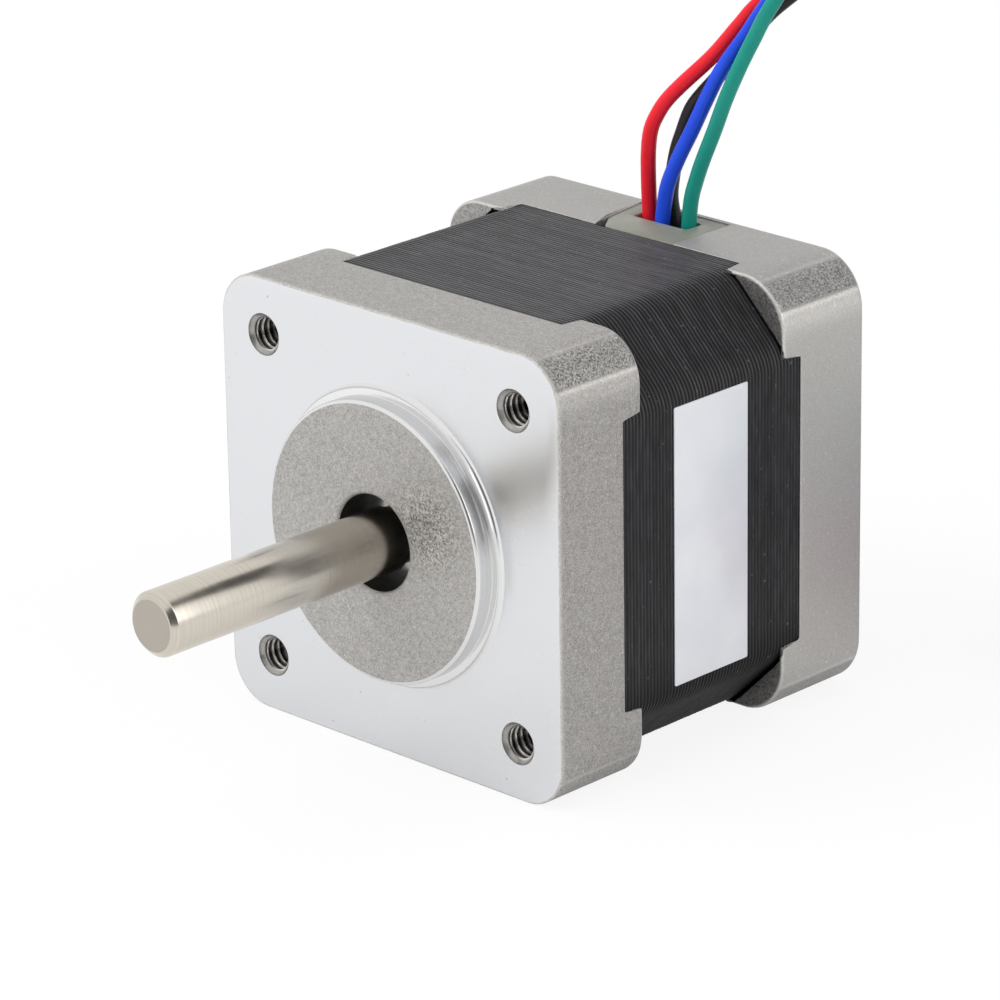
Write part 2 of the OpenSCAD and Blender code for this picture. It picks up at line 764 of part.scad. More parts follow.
module shaft() {
    shaft_r = shaft_d / 2;
    tip_r = shaft_r - shaft_chamfer;
    relief_r = shaft_r - relief_depth;
    rear_y = body_l - shaft_rear_gap;
    color("#b9b4a6") {
        rod(-shaft_reach, shaft_chamfer - shaft_reach, tip_r, shaft_r);
        rod(shaft_chamfer - shaft_reach, bearing_inset - relief_w, shaft_r, shaft_r);
        rod(bearing_inset - relief_w, bearing_inset, relief_r, relief_r);
        rod(bearing_inset, rear_y - shaft_chamfer, shaft_r, shaft_r);
        rod(rear_y - shaft_chamfer, rear_y, shaft_r, tip_r);
    }
}

// Toothed cup of the rotor, with its first tooth turned by angle
module rotor_cup(y0, y1, angle) {
    root_r = rotor_r - rotor_tooth_depth;
    gap_w = 2 * rotor_r * sin(tooth_step / 4);
    color("#8d8e92")
    slab(y0, y1)
    difference() {
        ring(shaft_d / 2, rotor_r);
        for (i = [0:rotor_teeth - 1])
            rotate(angle + (i + 1 / 2) * tooth_step)
                translate([-gap_w / 2, root_r]) square([gap_w, rotor_tooth_depth + overrun]);
    }
}

module front_rotor_cup() {
    rotor_cup(rotor_y0, magnet_y0, 0);
}

module rear_rotor_cup() {
    rotor_cup(magnet_y1, rotor_y1, tooth_step / 2);
}

module rotor_magnet() {
    color("#5a5a5e") sleeve(magnet_y0, magnet_y1, shaft_d / 2, magnet_r);
}

module front_spacer() {
    color("#b08d4a") sleeve(front_bearing_y1, rotor_y0, shaft_d / 2, spacer_d / 2);
}

module rear_spacer() {
    color("#b08d4a") sleeve(rotor_y1, rear_bearing_y0, shaft_d / 2, spacer_d / 2);
}

// Ball bearings, each from its front face at y0

module turned_ring(y0, r_in, r_out) {
    groove_r = ball_d / 2 + race_gap;
    translate([0, y0, 0])
        rotate([-90, 0, 0])
            rotate_extrude()
                difference() {
                    translate([r_in, 0]) square([r_out - r_in, bearing_w]);
                    translate([ball_circle_r, bearing_w / 2]) circle(groove_r);
                }
}

module outer_ring(y0) {
    color("#c4c5c9") turned_ring(y0, outer_land_r, bearing_od / 2);
}

module inner_ring(y0) {
    color("#d0d1d4") turned_ring(y0, shaft_d / 2, inner_land_r);
}

module at_balls(y0) {
    for (i = [0:ball_count - 1])
        translate([0, y0 + bearing_w / 2, 0])
            rotate([0, i * 360 / ball_count, 0]) translate([0, 0, ball_circle_r]) children();
}

module balls(y0) {
    color("#d9dadd") at_balls(y0) sphere(ball_d / 2);
}

module cage(y0) {
    middle = y0 + bearing_w / 2;
    color("#b89a55")
    difference() {
        sleeve(middle - cage_half_l, middle + cage_half_l,
            ball_circle_r - cage_t / 2, ball_circle_r + cage_t / 2);
        at_balls(y0) sphere(ball_d / 2 + pocket_gap);
    }
}

module shields(y0) {
    r_in = inner_land_r + shield_gap;
    color("#8b8c90")
    for (inner_y = [y0 + shield_inset, y0 + bearing_w - shield_inset - shield_t])
        sleeve(inner_y, inner_y + shield_t, r_in, outer_land_r);
}

// Leads, put-away leads, tinned ends and ties

module lead(i) {
    color(lead_colours[i]) tube(smooth(route(i)), lead_d, lead_sides, lead_across);
}

module lead_coil(i) {
    path = coil_path(i);
    echo(str("coil ", lead_names[i]), turns = coil_turns(i), least_gap = self_gap(path),
        whole_length = path_length(smooth(route(i))) + path_length(path) + lead_tip_l);
    color(lead_colours[i]) tube(path, lead_d, coil_sides, [0, 0, 1]);
}

module lead_tip(i) {
    path = coil_path(i);
    heading = unit(last(path) - before_last(path));
    color("#b9b9bd")
    translate(last(path))
        rotate([0, acos(heading[2]), atan2(heading[1], heading[0])])
            cylinder(h = lead_tip_l, r = lead_tip_d / 2);
}

// Two flat bands round the put-away leads, on opposite sides of the pile
module coil_ties() {
    r_in = coil_inner_r - lead_d / 2 - tie_gap;
    r_out = coil_start_r + lead_d / 2 + tie_gap;
    top_z = entry_z(len(routes) - 1) + lead_d / 2 + tie_gap;
    centre = turned([coil_along + lead_d, coil_across - coil_start_r, 0]);
    color("#26262a")
    translate(centre)
        for (side = [0, 180])
            rotate(lead_turn + side)
                translate([0, tie_w / 2, 0])
                    rotate([90, 0, 0])
                        linear_extrude(tie_w)
                            difference() {
                                translate([r_in - tie_t, floor_z])
                                    square([r_out - r_in + 2 * tie_t, top_z + tie_t - floor_z]);
                                translate([r_in, floor_z + tie_t])
                                    square([r_out - r_in, top_z - floor_z - tie_t]);
                            }
}

front_bell();
rear_bell();
stator_core();
front_insulator();
rear_insulator();
pole_coil(0);  // pole_coil_1
pole_coil(1);  // pole_coil_2
pole_coil(2);  // pole_coil_3
pole_coil(3);  // pole_coil_4
pole_coil(4);  // pole_coil_5
pole_coil(5);  // pole_coil_6
pole_coil(6);  // pole_coil_7
pole_coil(7);  // pole_coil_8
termination_board();
lead_terminals();
wire_guide();
label();
through_screws();
spring_washers();
wave_washer();
shaft();
front_rotor_cup();
rotor_magnet();
rear_rotor_cup();
front_spacer();
rear_spacer();
outer_ring(bearing_inset);  // front_bearing_outer_ring
inner_ring(bearing_inset);  // front_bearing_inner_ring
balls(bearing_inset);  // front_bearing_balls
cage(bearing_inset);  // front_bearing_cage
shields(bearing_inset);  // front_bearing_shields
outer_ring(rear_bearing_y0);  // rear_bearing_outer_ring
inner_ring(rear_bearing_y0);  // rear_bearing_inner_ring
balls(rear_bearing_y0);  // rear_bearing_balls
cage(rear_bearing_y0);  // rear_bearing_cage
shields(rear_bearing_y0);  // rear_bearing_shields
lead(0);  // lead_black
lead(1);  // lead_red
lead(2);  // lead_blue
lead(3);  // lead_green
lead_coil(0);  // lead_coil_black
lead_coil(1);  // lead_coil_red
lead_coil(2);  // lead_coil_blue
lead_coil(3);  // lead_coil_green
lead_tip(0);  // lead_tip_black
lead_tip(1);  // lead_tip_red
lead_tip(2);  // lead_tip_blue
lead_tip(3);  // lead_tip_green
coil_ties();
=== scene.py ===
"""A small square stepper motor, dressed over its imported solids. Lengths are written in millimetres."""
import math

import bmesh
import bpy
import numpy as np
from mathutils import Matrix, Vector


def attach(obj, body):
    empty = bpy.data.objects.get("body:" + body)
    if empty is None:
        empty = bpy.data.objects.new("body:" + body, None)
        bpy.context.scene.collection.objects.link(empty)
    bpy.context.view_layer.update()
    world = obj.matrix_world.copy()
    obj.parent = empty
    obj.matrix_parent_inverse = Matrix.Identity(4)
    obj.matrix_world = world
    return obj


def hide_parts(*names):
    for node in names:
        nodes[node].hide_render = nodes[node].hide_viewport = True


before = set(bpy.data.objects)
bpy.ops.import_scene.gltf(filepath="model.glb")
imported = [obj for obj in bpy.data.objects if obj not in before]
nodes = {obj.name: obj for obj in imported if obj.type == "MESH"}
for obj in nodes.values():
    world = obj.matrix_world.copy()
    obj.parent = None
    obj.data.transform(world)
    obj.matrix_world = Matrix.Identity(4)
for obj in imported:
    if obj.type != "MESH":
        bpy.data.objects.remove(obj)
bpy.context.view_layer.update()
MM = 0.001
TAU = 2 * math.pi

# Sizes of the housing, from the mounting face
BODY_HALF = 17.5
BODY_L = 33.5
STATOR_HALF = 17.42
STATOR_Y0, STATOR_Y1 = 6.8, 26.4
STATOR_LEG, STATOR_ROUND = 5.3, 3.0
SEAT_GAP = 0.02
FRONT_LUG_L = 8.75
REAR_SIDE_L, REAR_LUG_L = 7.1, 9.1
NOTCH_HALF, NOTCH_WALL = 4.6, 0.55
CAVITY_R = 15.2
HOLE_AT = 13.0
HOLE_MOUTH_R = 1.66
COUNTERBORE_R = 3.12
PILOT_FOOT_R = 11.95
WINDOW_MOUTH_R = 4.35
EDGE = 0.14
BELL_CORNER = 3.7
FLOOR_Z = -17.5

# The floor card lies this far below the bells
FLOOR_GAP = 0.02

# Points closer than this are one point of a mesh
MERGE = 0.002


# Meshes

def quads(rows, cols):
    """Faces of a closed grid of points: cell (i, j) joins rows i and i + 1 and columns j and j + 1,
    and the last column joins the first."""
    i, j = np.meshgrid(np.arange(rows - 1), np.arange(cols), indexing="ij")
    k = (j + 1) % cols
    return np.stack([i * cols + j, i * cols + k, (i + 1) * cols + k, (i + 1) * cols + j], -1).reshape(-1, 4)


class Shell:
    """Patches of points, faces and marks that are put together into one mesh."""

    def __init__(self):
        self.points, self.faces, self.marks, self.light_and_wear, self.count = [], [], [], [], 0

    def grid(self, points, mark=0, light_and_wear=0.0):
        """A grid of rows x columns x 3 points. mark is one material number, or one for each band."""
        rows, cols = points.shape[:2]
        self.add(points.reshape(-1, 3), quads(rows, cols).tolist(),
                 np.repeat(np.broadcast_to(mark, rows - 1), cols),
                 np.broadcast_to(light_and_wear, (rows, cols)).reshape(-1))

    def cap(self, ring, mark=0):
        """One flat face over a ring of points."""
        self.add(ring, [list(range(len(ring)))], [mark], np.zeros(len(ring)))

    def add(self, points, faces, marks, light_and_wear):
        """Points and faces of any kind, each face with its mark and each point with its mark of painted
        light and wear.
        """
        self.faces += [[v + self.count for v in f] for f in faces]
        self.points.append(np.asarray(points, float))
        self.marks += list(marks)
        self.light_and_wear.append(np.asarray(light_and_wear, float))
        self.count += len(points)

    def build(self, name, materials, sharp=35, outward=True):
        """The mesh object, in metres: doubles merged, faces turned outwards, edges over sharp degrees
        kept crisp, and each point's mark of painted light and wear kept as an attribute."""
        mesh = bpy.data.meshes.new(name)
        mesh.from_pydata((np.concatenate(self.points) * MM).tolist(), [], self.faces)
        mesh.attributes.new("light_and_wear", "FLOAT", "POINT").data.foreach_set("value", np.concatenate(self.light_and_wear))
        mesh.polygons.foreach_set("material_index", np.asarray(self.marks, np.int32))
        for m in materials:
            mesh.materials.append(m)
        work = bmesh.new()
        work.from_mesh(mesh)
        bmesh.ops.remove_doubles(work, verts=work.verts, dist=MERGE * MM)
        if outward:
            bmesh.ops.recalc_face_normals(work, faces=work.faces)
        work.to_mesh(mesh)
        work.free()
        mesh.polygons.foreach_set("use_smooth", np.ones(len(mesh.polygons), bool))
        mesh.set_sharp_from_angle(angle=math.radians(sharp))
        piece = bpy.data.objects.new(name, mesh)
        bpy.context.scene.collection.objects.link(piece)
        return piece


def ride(piece, body, *replaced, slot):
    """The piece rides on a body and stands for the named solids, which it hides. slot is not used."""
    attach(piece, body)
    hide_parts(*replaced)
    return piece


def lathe(profile, angles, centre=(0.0, 0.0)):
    """Rows of a turned surface: profile point (r, y) goes round the Y axis through centre."""
    profile = np.asarray(profile, float)
    r, y = profile[:, :1], profile[:, 1:]
    return np.stack([centre[0] + r * np.cos(angles), y + 0 * angles, centre[1] + r * np.sin(angles)], -1)


def turn(n):
    """n angles, evenly round one turn."""
    return np.arange(n) * TAU / n


def smooth_step(low, high, x):
    """0 below low, 1 above high, and 3t^2 - 2t^3 between them."""
    t = np.clip((x - low) / (high - low), 0, 1)
    return t * t * (3 - 2 * t)


def unit(v):
    """The vectors, each at a length of 1."""
    return v / np.linalg.norm(v, axis=-1, keepdims=True)


# Camera

def set_camera():
    """The photograph's view: camera place and axes from a fit to the housing's outlines."""
    data = bpy.data.cameras.new("photo_view")
    data.sensor_width = 36.0
    data.sensor_fit = "HORIZONTAL"
    data.lens = 192.68
    data.clip_start, data.clip_end = 0.01, 20.0
    camera = bpy.data.objects.new("photo_view", data)
    right = (0.71925317, 0.69459166, -0.01474121)
    up = (-0.2320239, 0.26015357, 0.93727532)
    back = (0.6548586, -0.67071794, 0.34827814)
    place = Matrix((right, up, back)).transposed().to_4x4()
    place.translation = (0.26605700, -0.26067109, 0.14115990)
    camera.matrix_world = place
    bpy.context.scene.collection.objects.link(camera)
    bpy.context.scene.camera = camera


set_camera()


# Shader helpers

def group(name, inputs, outputs):
    """A new shader node group. Its inputs are numbers, given with their defaults. Of its outputs
    Normal is a vector and the others are numbers."""
    tree = bpy.data.node_groups.new(name, "ShaderNodeTree")
    for label, value in inputs.items():
        socket = tree.interface.new_socket(label, in_out="INPUT", socket_type="NodeSocketFloat")
        socket.default_value = value
    for label in outputs:
        kind = "NodeSocketVector" if label == "Normal" else "NodeSocketFloat"
        tree.interface.new_socket(label, in_out="OUTPUT", socket_type=kind)
    return tree, tree.nodes.new("NodeGroupInput").outputs, tree.nodes.new("NodeGroupOutput").inputs


class Wires:
    """Short names for putting nodes into one tree."""

    def __init__(self, tree):
        self.tree = tree

    def node(self, kind, links=None, **values):
        """A new node. links gives its inputs, each a socket or a plain value."""
        made = self.tree.nodes.new(kind)
        for key, value in values.items():
            setattr(made, key, value)
        for key, value in (links or {}).items():
            if isinstance(value, bpy.types.NodeSocket):
                self.tree.links.new(value, made.inputs[key])
            else:
                made.inputs[key].default_value = value
        return made

    def light_and_wear(self):
        """The surface's mark of painted light and shade, and of wear."""
        return self.node("ShaderNodeAttribute", attribute_name="light_and_wear").outputs["Fac"]

    def math(self, operation, a, b):
        """One sum of two values."""
        return self.node("ShaderNodeMath", {0: a, 1: b}, operation=operation).outputs[0]

    def noise(self, where, scale, detail=2.0, rough=0.5):
        """Noise at the given places, about 0.5 in the middle."""
        return self.node("ShaderNodeTexNoise", {"Vector": where, "Scale": scale, "Detail": detail,
                                                "Roughness": rough}).outputs["Fac"]

    def span(self, value, low, high, to_low=0.0, to_high=1.0):
        """to_low at low and to_high at high, straight between them and held beyond them."""
        return self.node("ShaderNodeMapRange", {"Value": value, "From Min": low, "From Max": high,
                                                "To Min": to_low, "To Max": to_high}).outputs[0]

    def mix(self, factor, a, b):
        """Colour a at factor 0 and colour b at 1."""
        a, b = ((*colour, 1.0) if isinstance(colour, tuple) else colour for colour in (a, b))
        return self.node("ShaderNodeMix", {0: factor, 6: a, 7: b}, data_type="RGBA").outputs[2]

    def place(self, stretch=(1, 1, 1)):
        """Object coordinates, stretched along the axes."""
        at = self.node("ShaderNodeTexCoord").outputs["Object"]
        return self.node("ShaderNodeMapping", {"Vector": at, "Scale": stretch}).outputs[0]

    def rays(self):
        """Marks of rays that come from the camera, and of those mirrored or let through."""
        path = self.node("ShaderNodeLightPath").outputs
        mirrored = self.math("MAXIMUM", path["Is Glossy Ray"], path["Is Transmission Ray"])
        return path["Is Camera Ray"], mirrored

    def bump(self, height, depth):
        """Normal of a height that rises by depth in metres."""
        return self.node("ShaderNodeBump", {"Height": height, "Distance": depth, "Strength": 1.0}).outputs[0]


def grain_group():
    """Grain of a cast, blasted or moulded skin from fine and middle noise: a shade, a mask of the
    bright specks, a harder shade for rough patches, and a normal."""
    outputs = ("Shade", "Specks", "Coarse", "Normal")
    tree, given, out = group("grain", {"Scale": 5000.0, "Depth": 2e-5}, outputs)
    w = Wires(tree)
    at = w.place()
    fine = w.noise(at, given["Scale"], 3.0, 0.7)
    middle = w.noise(at, w.math("MULTIPLY", given["Scale"], 0.36), 3.0, 0.7)
    height = w.math("ADD", w.math("MULTIPLY", fine, 0.7), w.math("MULTIPLY", middle, 0.3))
    tree.links.new(w.span(height, 0.36, 0.64), out["Shade"])
    dots = w.noise(at, w.math("MULTIPLY", given["Scale"], 0.45), 1.0)
    tree.links.new(w.span(dots, 0.66, 0.76), out["Specks"])
    rough = w.noise(at, w.math("MULTIPLY", given["Scale"], 0.75), 3.0, 0.75)
    tree.links.new(w.span(rough, 0.37, 0.63), out["Coarse"])
    tree.links.new(w.bump(height, given["Depth"]), out["Normal"])
    return tree


def drift_group():
    """Slow drift of a tone over a surface, from wide noise."""
    tree, given, out = group("drift", {"Scale": 90.0}, ("Value",))
    w = Wires(tree)
    wide = w.noise(w.place(), given["Scale"], 3.0, 0.55)
    tree.links.new(w.span(wide, 0.3, 0.7), out["Value"])
    return tree


GRAIN = grain_group()
DRIFT = drift_group()


def material(name, finish=None, **sockets):
    """A material of one Principled shader with the given sockets. finish(wires, shader) wires its
    colour, roughness and normal."""
    made = bpy.data.materials.new(name)
    made.use_nodes = True
    shader = made.node_tree.nodes["Principled BSDF"]
    for key, value in sockets.items():
        plain = (*value, 1.0) if isinstance(value, tuple) else value
        shader.inputs[key.replace("_", " ")].default_value = plain
    if finish:
        finish(Wires(made.node_tree), shader)
    return made


def feed(w, shader, **sockets):
    """Links each value to the shader's socket of that name."""
    for key, value in sockets.items():
        w.tree.links.new(value, shader.inputs[key.replace("_", " ")])


def use(w, tree, **values):
    """An effect group, placed with its own values. Returns its outputs."""
    made = w.node("ShaderNodeGroup", None, node_tree=tree)
    for key, value in values.items():
        made.inputs[key].default_value = value
    return made.outputs


# Finishes

def toned(colour, share):
    """The colour, darker or paler by a share."""
    return tuple(share * x for x in colour)


def cast_finish(dark, pale, scale, depth, bright_tone=(0.80, 0.77, 0.73)):
    """Cast metal: grey grain that shades from dark to pale, with bright specks. A mark over 0
    brightens it: painted highlights on edges and painted light on sides. From 0 to -1 it turns to a
    rough patch with dark pits, and beyond that it darkens as painted shade.
    A mix takes a factor under 0 as 0 and over 1 as 1."""
    def finish(w, shader):
        grain = use(w, GRAIN, Scale=scale, Depth=depth)
        light_and_wear = w.light_and_wear()
        sunk = w.math("MULTIPLY", light_and_wear, -1.0)
        tone = w.mix(grain["Shade"], dark, pale)
        tone = w.mix(w.math("MULTIPLY", grain["Specks"], 0.45), tone, bright_tone)
        pitted = w.mix(grain["Coarse"], toned(dark, 0.4), toned(pale, 1.2))
        tone = w.mix(sunk, tone, pitted)
        tone = w.mix(w.math("SUBTRACT", sunk, 1.0), tone, toned(dark, 0.2))
        lift = w.math("MULTIPLY", light_and_wear, w.span(grain["Coarse"], 0.0, 1.0, 0.5, 1.0))
        feed(w, shader, Base_Color=w.mix(lift, tone, bright_tone),
             Roughness=w.span(lift, 0.0, 1.0, 0.5, 0.28), Normal=grain["Normal"])
    return finish


def machined_finish(w, shader):
    """Milled face: nearly even and bright, with tiny specks, faint long scratches and slow drift."""
    at = w.place()
    specks = w.span(w.noise(at, 1900.0, 1.0), 0.75, 0.79)
    drift = use(w, DRIFT, Scale=60.0)
    lines = w.noise(w.place((260.0, 1.0, 3400.0)), 1.0, 2.0, 0.6)
    tone = w.mix(specks, (0.735, 0.745, 0.765), (0.52, 0.52, 0.53))
    feed(w, shader, Base_Color=tone, Roughness=w.span(drift["Value"], 0.0, 1.0, 0.2, 0.32),
         Normal=w.bump(lines, 5e-7))


def turned_finish(dark, pale, rough, ring_scale, depth):
    """Turned metal: rings round the Y axis whose tone and height change along it."""
    def finish(w, shader):
        rings = w.noise(w.place((18.0, ring_scale, 18.0)), 1.0, 3.0, 0.65)
        drift = use(w, DRIFT, Scale=300.0)
        tone = w.mix(w.span(rings, 0.3, 0.7), dark, pale)
        feed(w, shader, Base_Color=tone, Normal=w.bump(rings, depth),
             Roughness=w.span(drift["Value"], 0.0, 1.0, rough * 0.85, rough * 1.15))
    return finish


def thread_finish(w, shader):
    """Cut thread: the mark is 1 on the crests and 0 in the roots, and falls deeper in the hole, as painted
    shade in the roots and down the hole.
    """
    crest_light = w.light_and_wear()
    drift = use(w, DRIFT, Scale=1400.0)
    bright = w.mix(drift["Value"], (0.62, 0.60, 0.57), (0.86, 0.84, 0.80))
    feed(w, shader, Base_Color=w.mix(crest_light, (0.02, 0.016, 0.014), bright),
         Roughness=w.span(drift["Value"], 0.0, 1.0, 0.2, 0.34))


def moulded_finish(tone_a, tone_b, scale, depth, rough):
    """Moulded plastic: soft mottled tone and a very shallow grain."""
    def finish(w, shader):
        grain = use(w, GRAIN, Scale=scale, Depth=depth)
        drift = use(w, DRIFT, Scale=220.0)
        feed(w, shader, Base_Color=w.mix(drift["Value"], tone_a, tone_b), Normal=grain["Normal"],
             Roughness=w.span(grain["Shade"], 0.0, 1.0, rough * 0.9, rough * 1.1))
    return finish


def sheet_stack_finish(w, shader):
    """Blackened edges of stacked sheets: the mark holds each sheet's own tone, with painted highlights
    on the edges, painted shade in the grooves, a painted sheen on the top and painted shade low down.
    Thin noise drawn out along the sheets breaks it up."""
    tone = w.light_and_wear()
    streak = w.noise(w.place((500.0, 2200.0, 500.0)), 1.0, 2.0, 0.5)
    nicks = w.span(w.noise(w.place(), 2300.0, 1.0), 0.72, 0.78)
    shade = w.math("MULTIPLY", tone, w.span(streak, 0.3, 0.7, 0.6, 1.3))
    dark = w.mix(shade, (0.001, 0.0009, 0.0011), (0.085, 0.083, 0.09))
    feed(w, shader, Base_Color=w.mix(w.math("MULTIPLY", nicks, 0.5), dark, (0.16, 0.16, 0.17)),
         Roughness=w.span(streak, 0.3, 0.7, 0.33, 0.45))


def insulation_finish(base, pale):
    """Soft wire insulation: an even colour with a slow change of tone and a very shallow ripple."""
    def finish(w, shader):
        drift = use(w, DRIFT, Scale=260.0)
        ripple = w.noise(w.place(), 700.0, 2.0)
        feed(w, shader, Base_Color=w.mix(w.math("MULTIPLY", drift["Value"], 0.5), base, pale),
             Roughness=w.span(ripple, 0.3, 0.7, 0.36, 0.48), Normal=w.bump(ripple, 1e-5))
    return finish


def turned_metal(name, *finish):
    """A full metal with the given turned finish."""
    return material(name, turned_finish(*finish), Metallic=1.0)


CAST_FRONT = material(
    "cast_front_bell", cast_finish((0.20, 0.191, 0.182), (0.50, 0.484, 0.463), 8000.0, 2e-5), Metallic=0.5)
CAST_REAR = material(
    "cast_rear_bell", cast_finish((0.30, 0.295, 0.285), (0.44, 0.43, 0.415), 8000.0, 1.2e-5), Metallic=0.5)
MACHINED = material("machined_face", machined_finish, Metallic=1.0)
BLASTED = material(
    "blasted_pilot_face", cast_finish((0.27, 0.262, 0.25), (0.57, 0.553, 0.53), 8500.0, 2e-5),
    Metallic=0.6)
PILOT_WALL = turned_metal("turned_pilot_wall", (0.70, 0.70, 0.70), (0.80, 0.80, 0.80), 0.22, 9000.0, 1e-6)
THREAD = material("cut_thread", thread_finish, Metallic=0.6)
# The bore, bearing seat and cavity are painted near black: painted shade inside the housing
DARK_BORE = material(
    "bore_in_painted_shade", moulded_finish((0.010, 0.009, 0.009), (0.026, 0.024, 0.023), 2600.0, 4e-6, 0.62),
    Specular_IOR_Level=0.2)
STACK = material("black_lamination_edges", sheet_stack_finish, Specular_IOR_Level=0.2)
SHAFT_STEEL = turned_metal("ground_shaft", (0.56, 0.52, 0.455), (0.67, 0.62, 0.545), 0.22, 5200.0, 4e-7)
SHAFT_TIP = turned_metal("faced_shaft_end", (0.38, 0.352, 0.31), (0.455, 0.42, 0.37), 0.32, 900.0, 6e-7)
NYLON = material(
    "natural_nylon", moulded_finish((0.17, 0.178, 0.148), (0.25, 0.26, 0.22), 2600.0, 6e-6, 0.42),
    Subsurface_Weight=0.3, Subsurface_Scale=0.0012)
LABEL_FILM = material(
    "bare_label_film", moulded_finish((0.73, 0.745, 0.785), (0.79, 0.80, 0.835), 900.0, 2e-6, 0.35),
    Metallic=0.25)
SCREW_STEEL = turned_metal("screw_steel", (0.36, 0.36, 0.37), (0.55, 0.55, 0.56), 0.34, 2600.0, 4e-6)
TIE_PLASTIC = material(
    "black_tie_plastic", moulded_finish((0.012, 0.012, 0.014), (0.03, 0.03, 0.033), 2600.0, 6e-6, 0.4))
TINNED = turned_metal("tinned_strands", (0.60, 0.60, 0.61), (0.80, 0.80, 0.81), 0.3, 2500.0, 4e-6)
WIRE_TONES = {
    "black": ((0.010, 0.010, 0.012), (0.022, 0.022, 0.026)),
    "red": ((0.80, 0.007, 0.02), (0.90, 0.02, 0.04)),
    "blue": ((0.008, 0.062, 0.70), (0.018, 0.10, 0.84)),
    "green": ((0.004, 0.25, 0.195), (0.008, 0.33, 0.26)),
}
INSULATION = {name: material(f"{name}_insulation", insulation_finish(*tones), Specular_IOR_Level=0.3)
              for name, tones in WIRE_TONES.items()}


# Leads

# The lead plane stands upright, turned 44 degrees from the X axis. A route point is the distance
# along it, the distance across it and the height, as in the part's source.
LEAD_TURN = math.radians(44)
ALONG = np.array([math.cos(LEAD_TURN), math.sin(LEAD_TURN), 0.0])
ACROSS = np.array([-math.sin(LEAD_TURN), math.cos(LEAD_TURN), 0.0])
UP = np.array([0.0, 0.0, 1.0])
LEAD_D = 1.2
LEAD_L = 300.0
TIP_D, TIP_L = 0.6, 4.0
COIL_ALONG, COIL_ACROSS = 61.0, 23.0
COIL_R0, COIL_STEP, COIL_IN = 9.1, 1.9, 2.0
COIL_LAYER, COIL_STACK = 1.7, 3.2
TIE_T, TIE_W, TIE_GAP = 0.3, 1.6, 0.15
COIL_R1 = COIL_R0 - COIL_STEP * COIL_IN
COIL_FOOT = FLOOR_Z + TIE_T + LEAD_D / 2
ROUTES = {
    "black": [
        (22.5, 22.6, 13.1), (22.5, 22.6, 14.3), (22, 23.1, 17), (21.7, 23.3, 19), (21.9, 23.4, 21),
        (22.2, 23.4, 22.7), (22.6, 23.4, 24), (23.3, 23.5, 25.9), (24.1, 23.6, 27), (25.3, 23.8, 28.3),
        (27, 24.2, 30.3), (28.6, 24.5, 32.3), (30.5, 24.6, 34.1), (34.9, 24.3, 37.4),
        (39.1, 23.9, 39.4), (43.8, 23.5, 39), (47.6, 23.2, 36.3), (49.6, 23, 32), (50.1, 23, 20),
        (50.1, 23, 8), (50, 23, -2), (50, 23, -9.9), (50.7, 23, -12.4), (52.5, 23, -14.2),
        (55, 23, -14.9), (57.5, 23, -14.9)],
    "red": [
        (20.2, 23.8, 13.1), (20.2, 23.8, 14.3), (20.1, 23.8, 17), (20, 23.9, 20), (20, 23.9, 22.5),
        (20.2, 23.9, 24.2), (20.7, 23.9, 25.4), (21.4, 23.9, 26.5), (22.6, 23.8, 27.8),
        (25, 23.7, 30.1), (27, 23.6, 32.5), (28.7, 23.5, 34.4), (33.3, 23.6, 38), (38, 23.4, 40.6),
        (43.4, 23.2, 40.6), (48.1, 23, 37.9), (50.8, 23, 33.2), (51.6, 23, 20), (51.6, 23, 8),
        (51.5, 23, -2), (51.5, 23, -6.7), (52.2, 23, -9.2), (54, 23, -11), (56.5, 23, -11.7),
        (58.2, 23, -11.7)],
    "blue": [
        (21, 22.6, 13.1), (21, 22.6, 14.3), (21, 22.2, 17), (21.2, 22.1, 19), (21.5, 22.1, 20.5),
        (22.3, 22.1, 22.5), (23.3, 22.1, 24.6), (24.4, 22.2, 27), (25.6, 22.2, 29.4),
        (27.4, 22.2, 32), (29.2, 22.2, 34.7), (33, 22.3, 39.6), (37.6, 22.5, 42.1),
        (43.8, 22.8, 42.1), (49.2, 23, 39), (52.3, 23, 33.6), (53.1, 23, 20), (53.1, 23, 8),
        (53, 23, 0), (53, 23, -3.5), (53.7, 23, -6), (55.5, 23, -7.8), (58, 23, -8.5)],
    "green": [
        (23, 21, 13.1), (23, 21, 14.3), (23, 21, 17), (23.2, 21, 19.4), (23.6, 21, 21),
        (24.1, 20.9, 22.6), (25, 20.9, 25), (25.8, 20.9, 27.3), (26.8, 20.9, 29.7), (27.9, 20.9, 32),
        (29.5, 20.9, 35), (33.8, 21.2, 41.2), (38.8, 21.8, 43.8), (45.3, 22.4, 43.2),
        (50.7, 22.9, 39.5), (53.8, 23, 33.8), (54.6, 23, 20), (54.6, 23, 8), (54.5, 23, 3),
        (54.5, 23, -0.3), (55.2, 23, -2.8), (57, 23, -4.6), (59.5, 23, -5.3)],
}


def turned(p):
    """Places of route points (along, across, height) in the frame's axes."""
    p = np.atleast_2d(np.asarray(p, float))
    return p[:, :1] * ALONG + p[:, 1:2] * ACROSS + p[:, 2:] * UP


def smooth_route(points, steps):
    """Curve through the points: each stretch is the cubic whose slopes at its ends are half the step
    between the neighbouring points, cut into as many parts as steps per millimetre ask for."""
    p = np.vstack([2 * points[0] - points[1], points, 2 * points[-1] - points[-2]])
    out = []
    for a, b, c, d in zip(p[:-3], p[1:-2], p[2:-1], p[3:]):
        n = max(1, round(np.linalg.norm(c - b) * steps))
        u = (np.arange(n) / n)[:, None]
        out.append(b + u / 2 * ((c - a) + u * (2 * a - 5 * b + 4 * c - d + u * (3 * b - 3 * c + d - a))))
    return np.vstack(out + [points[-1:]])


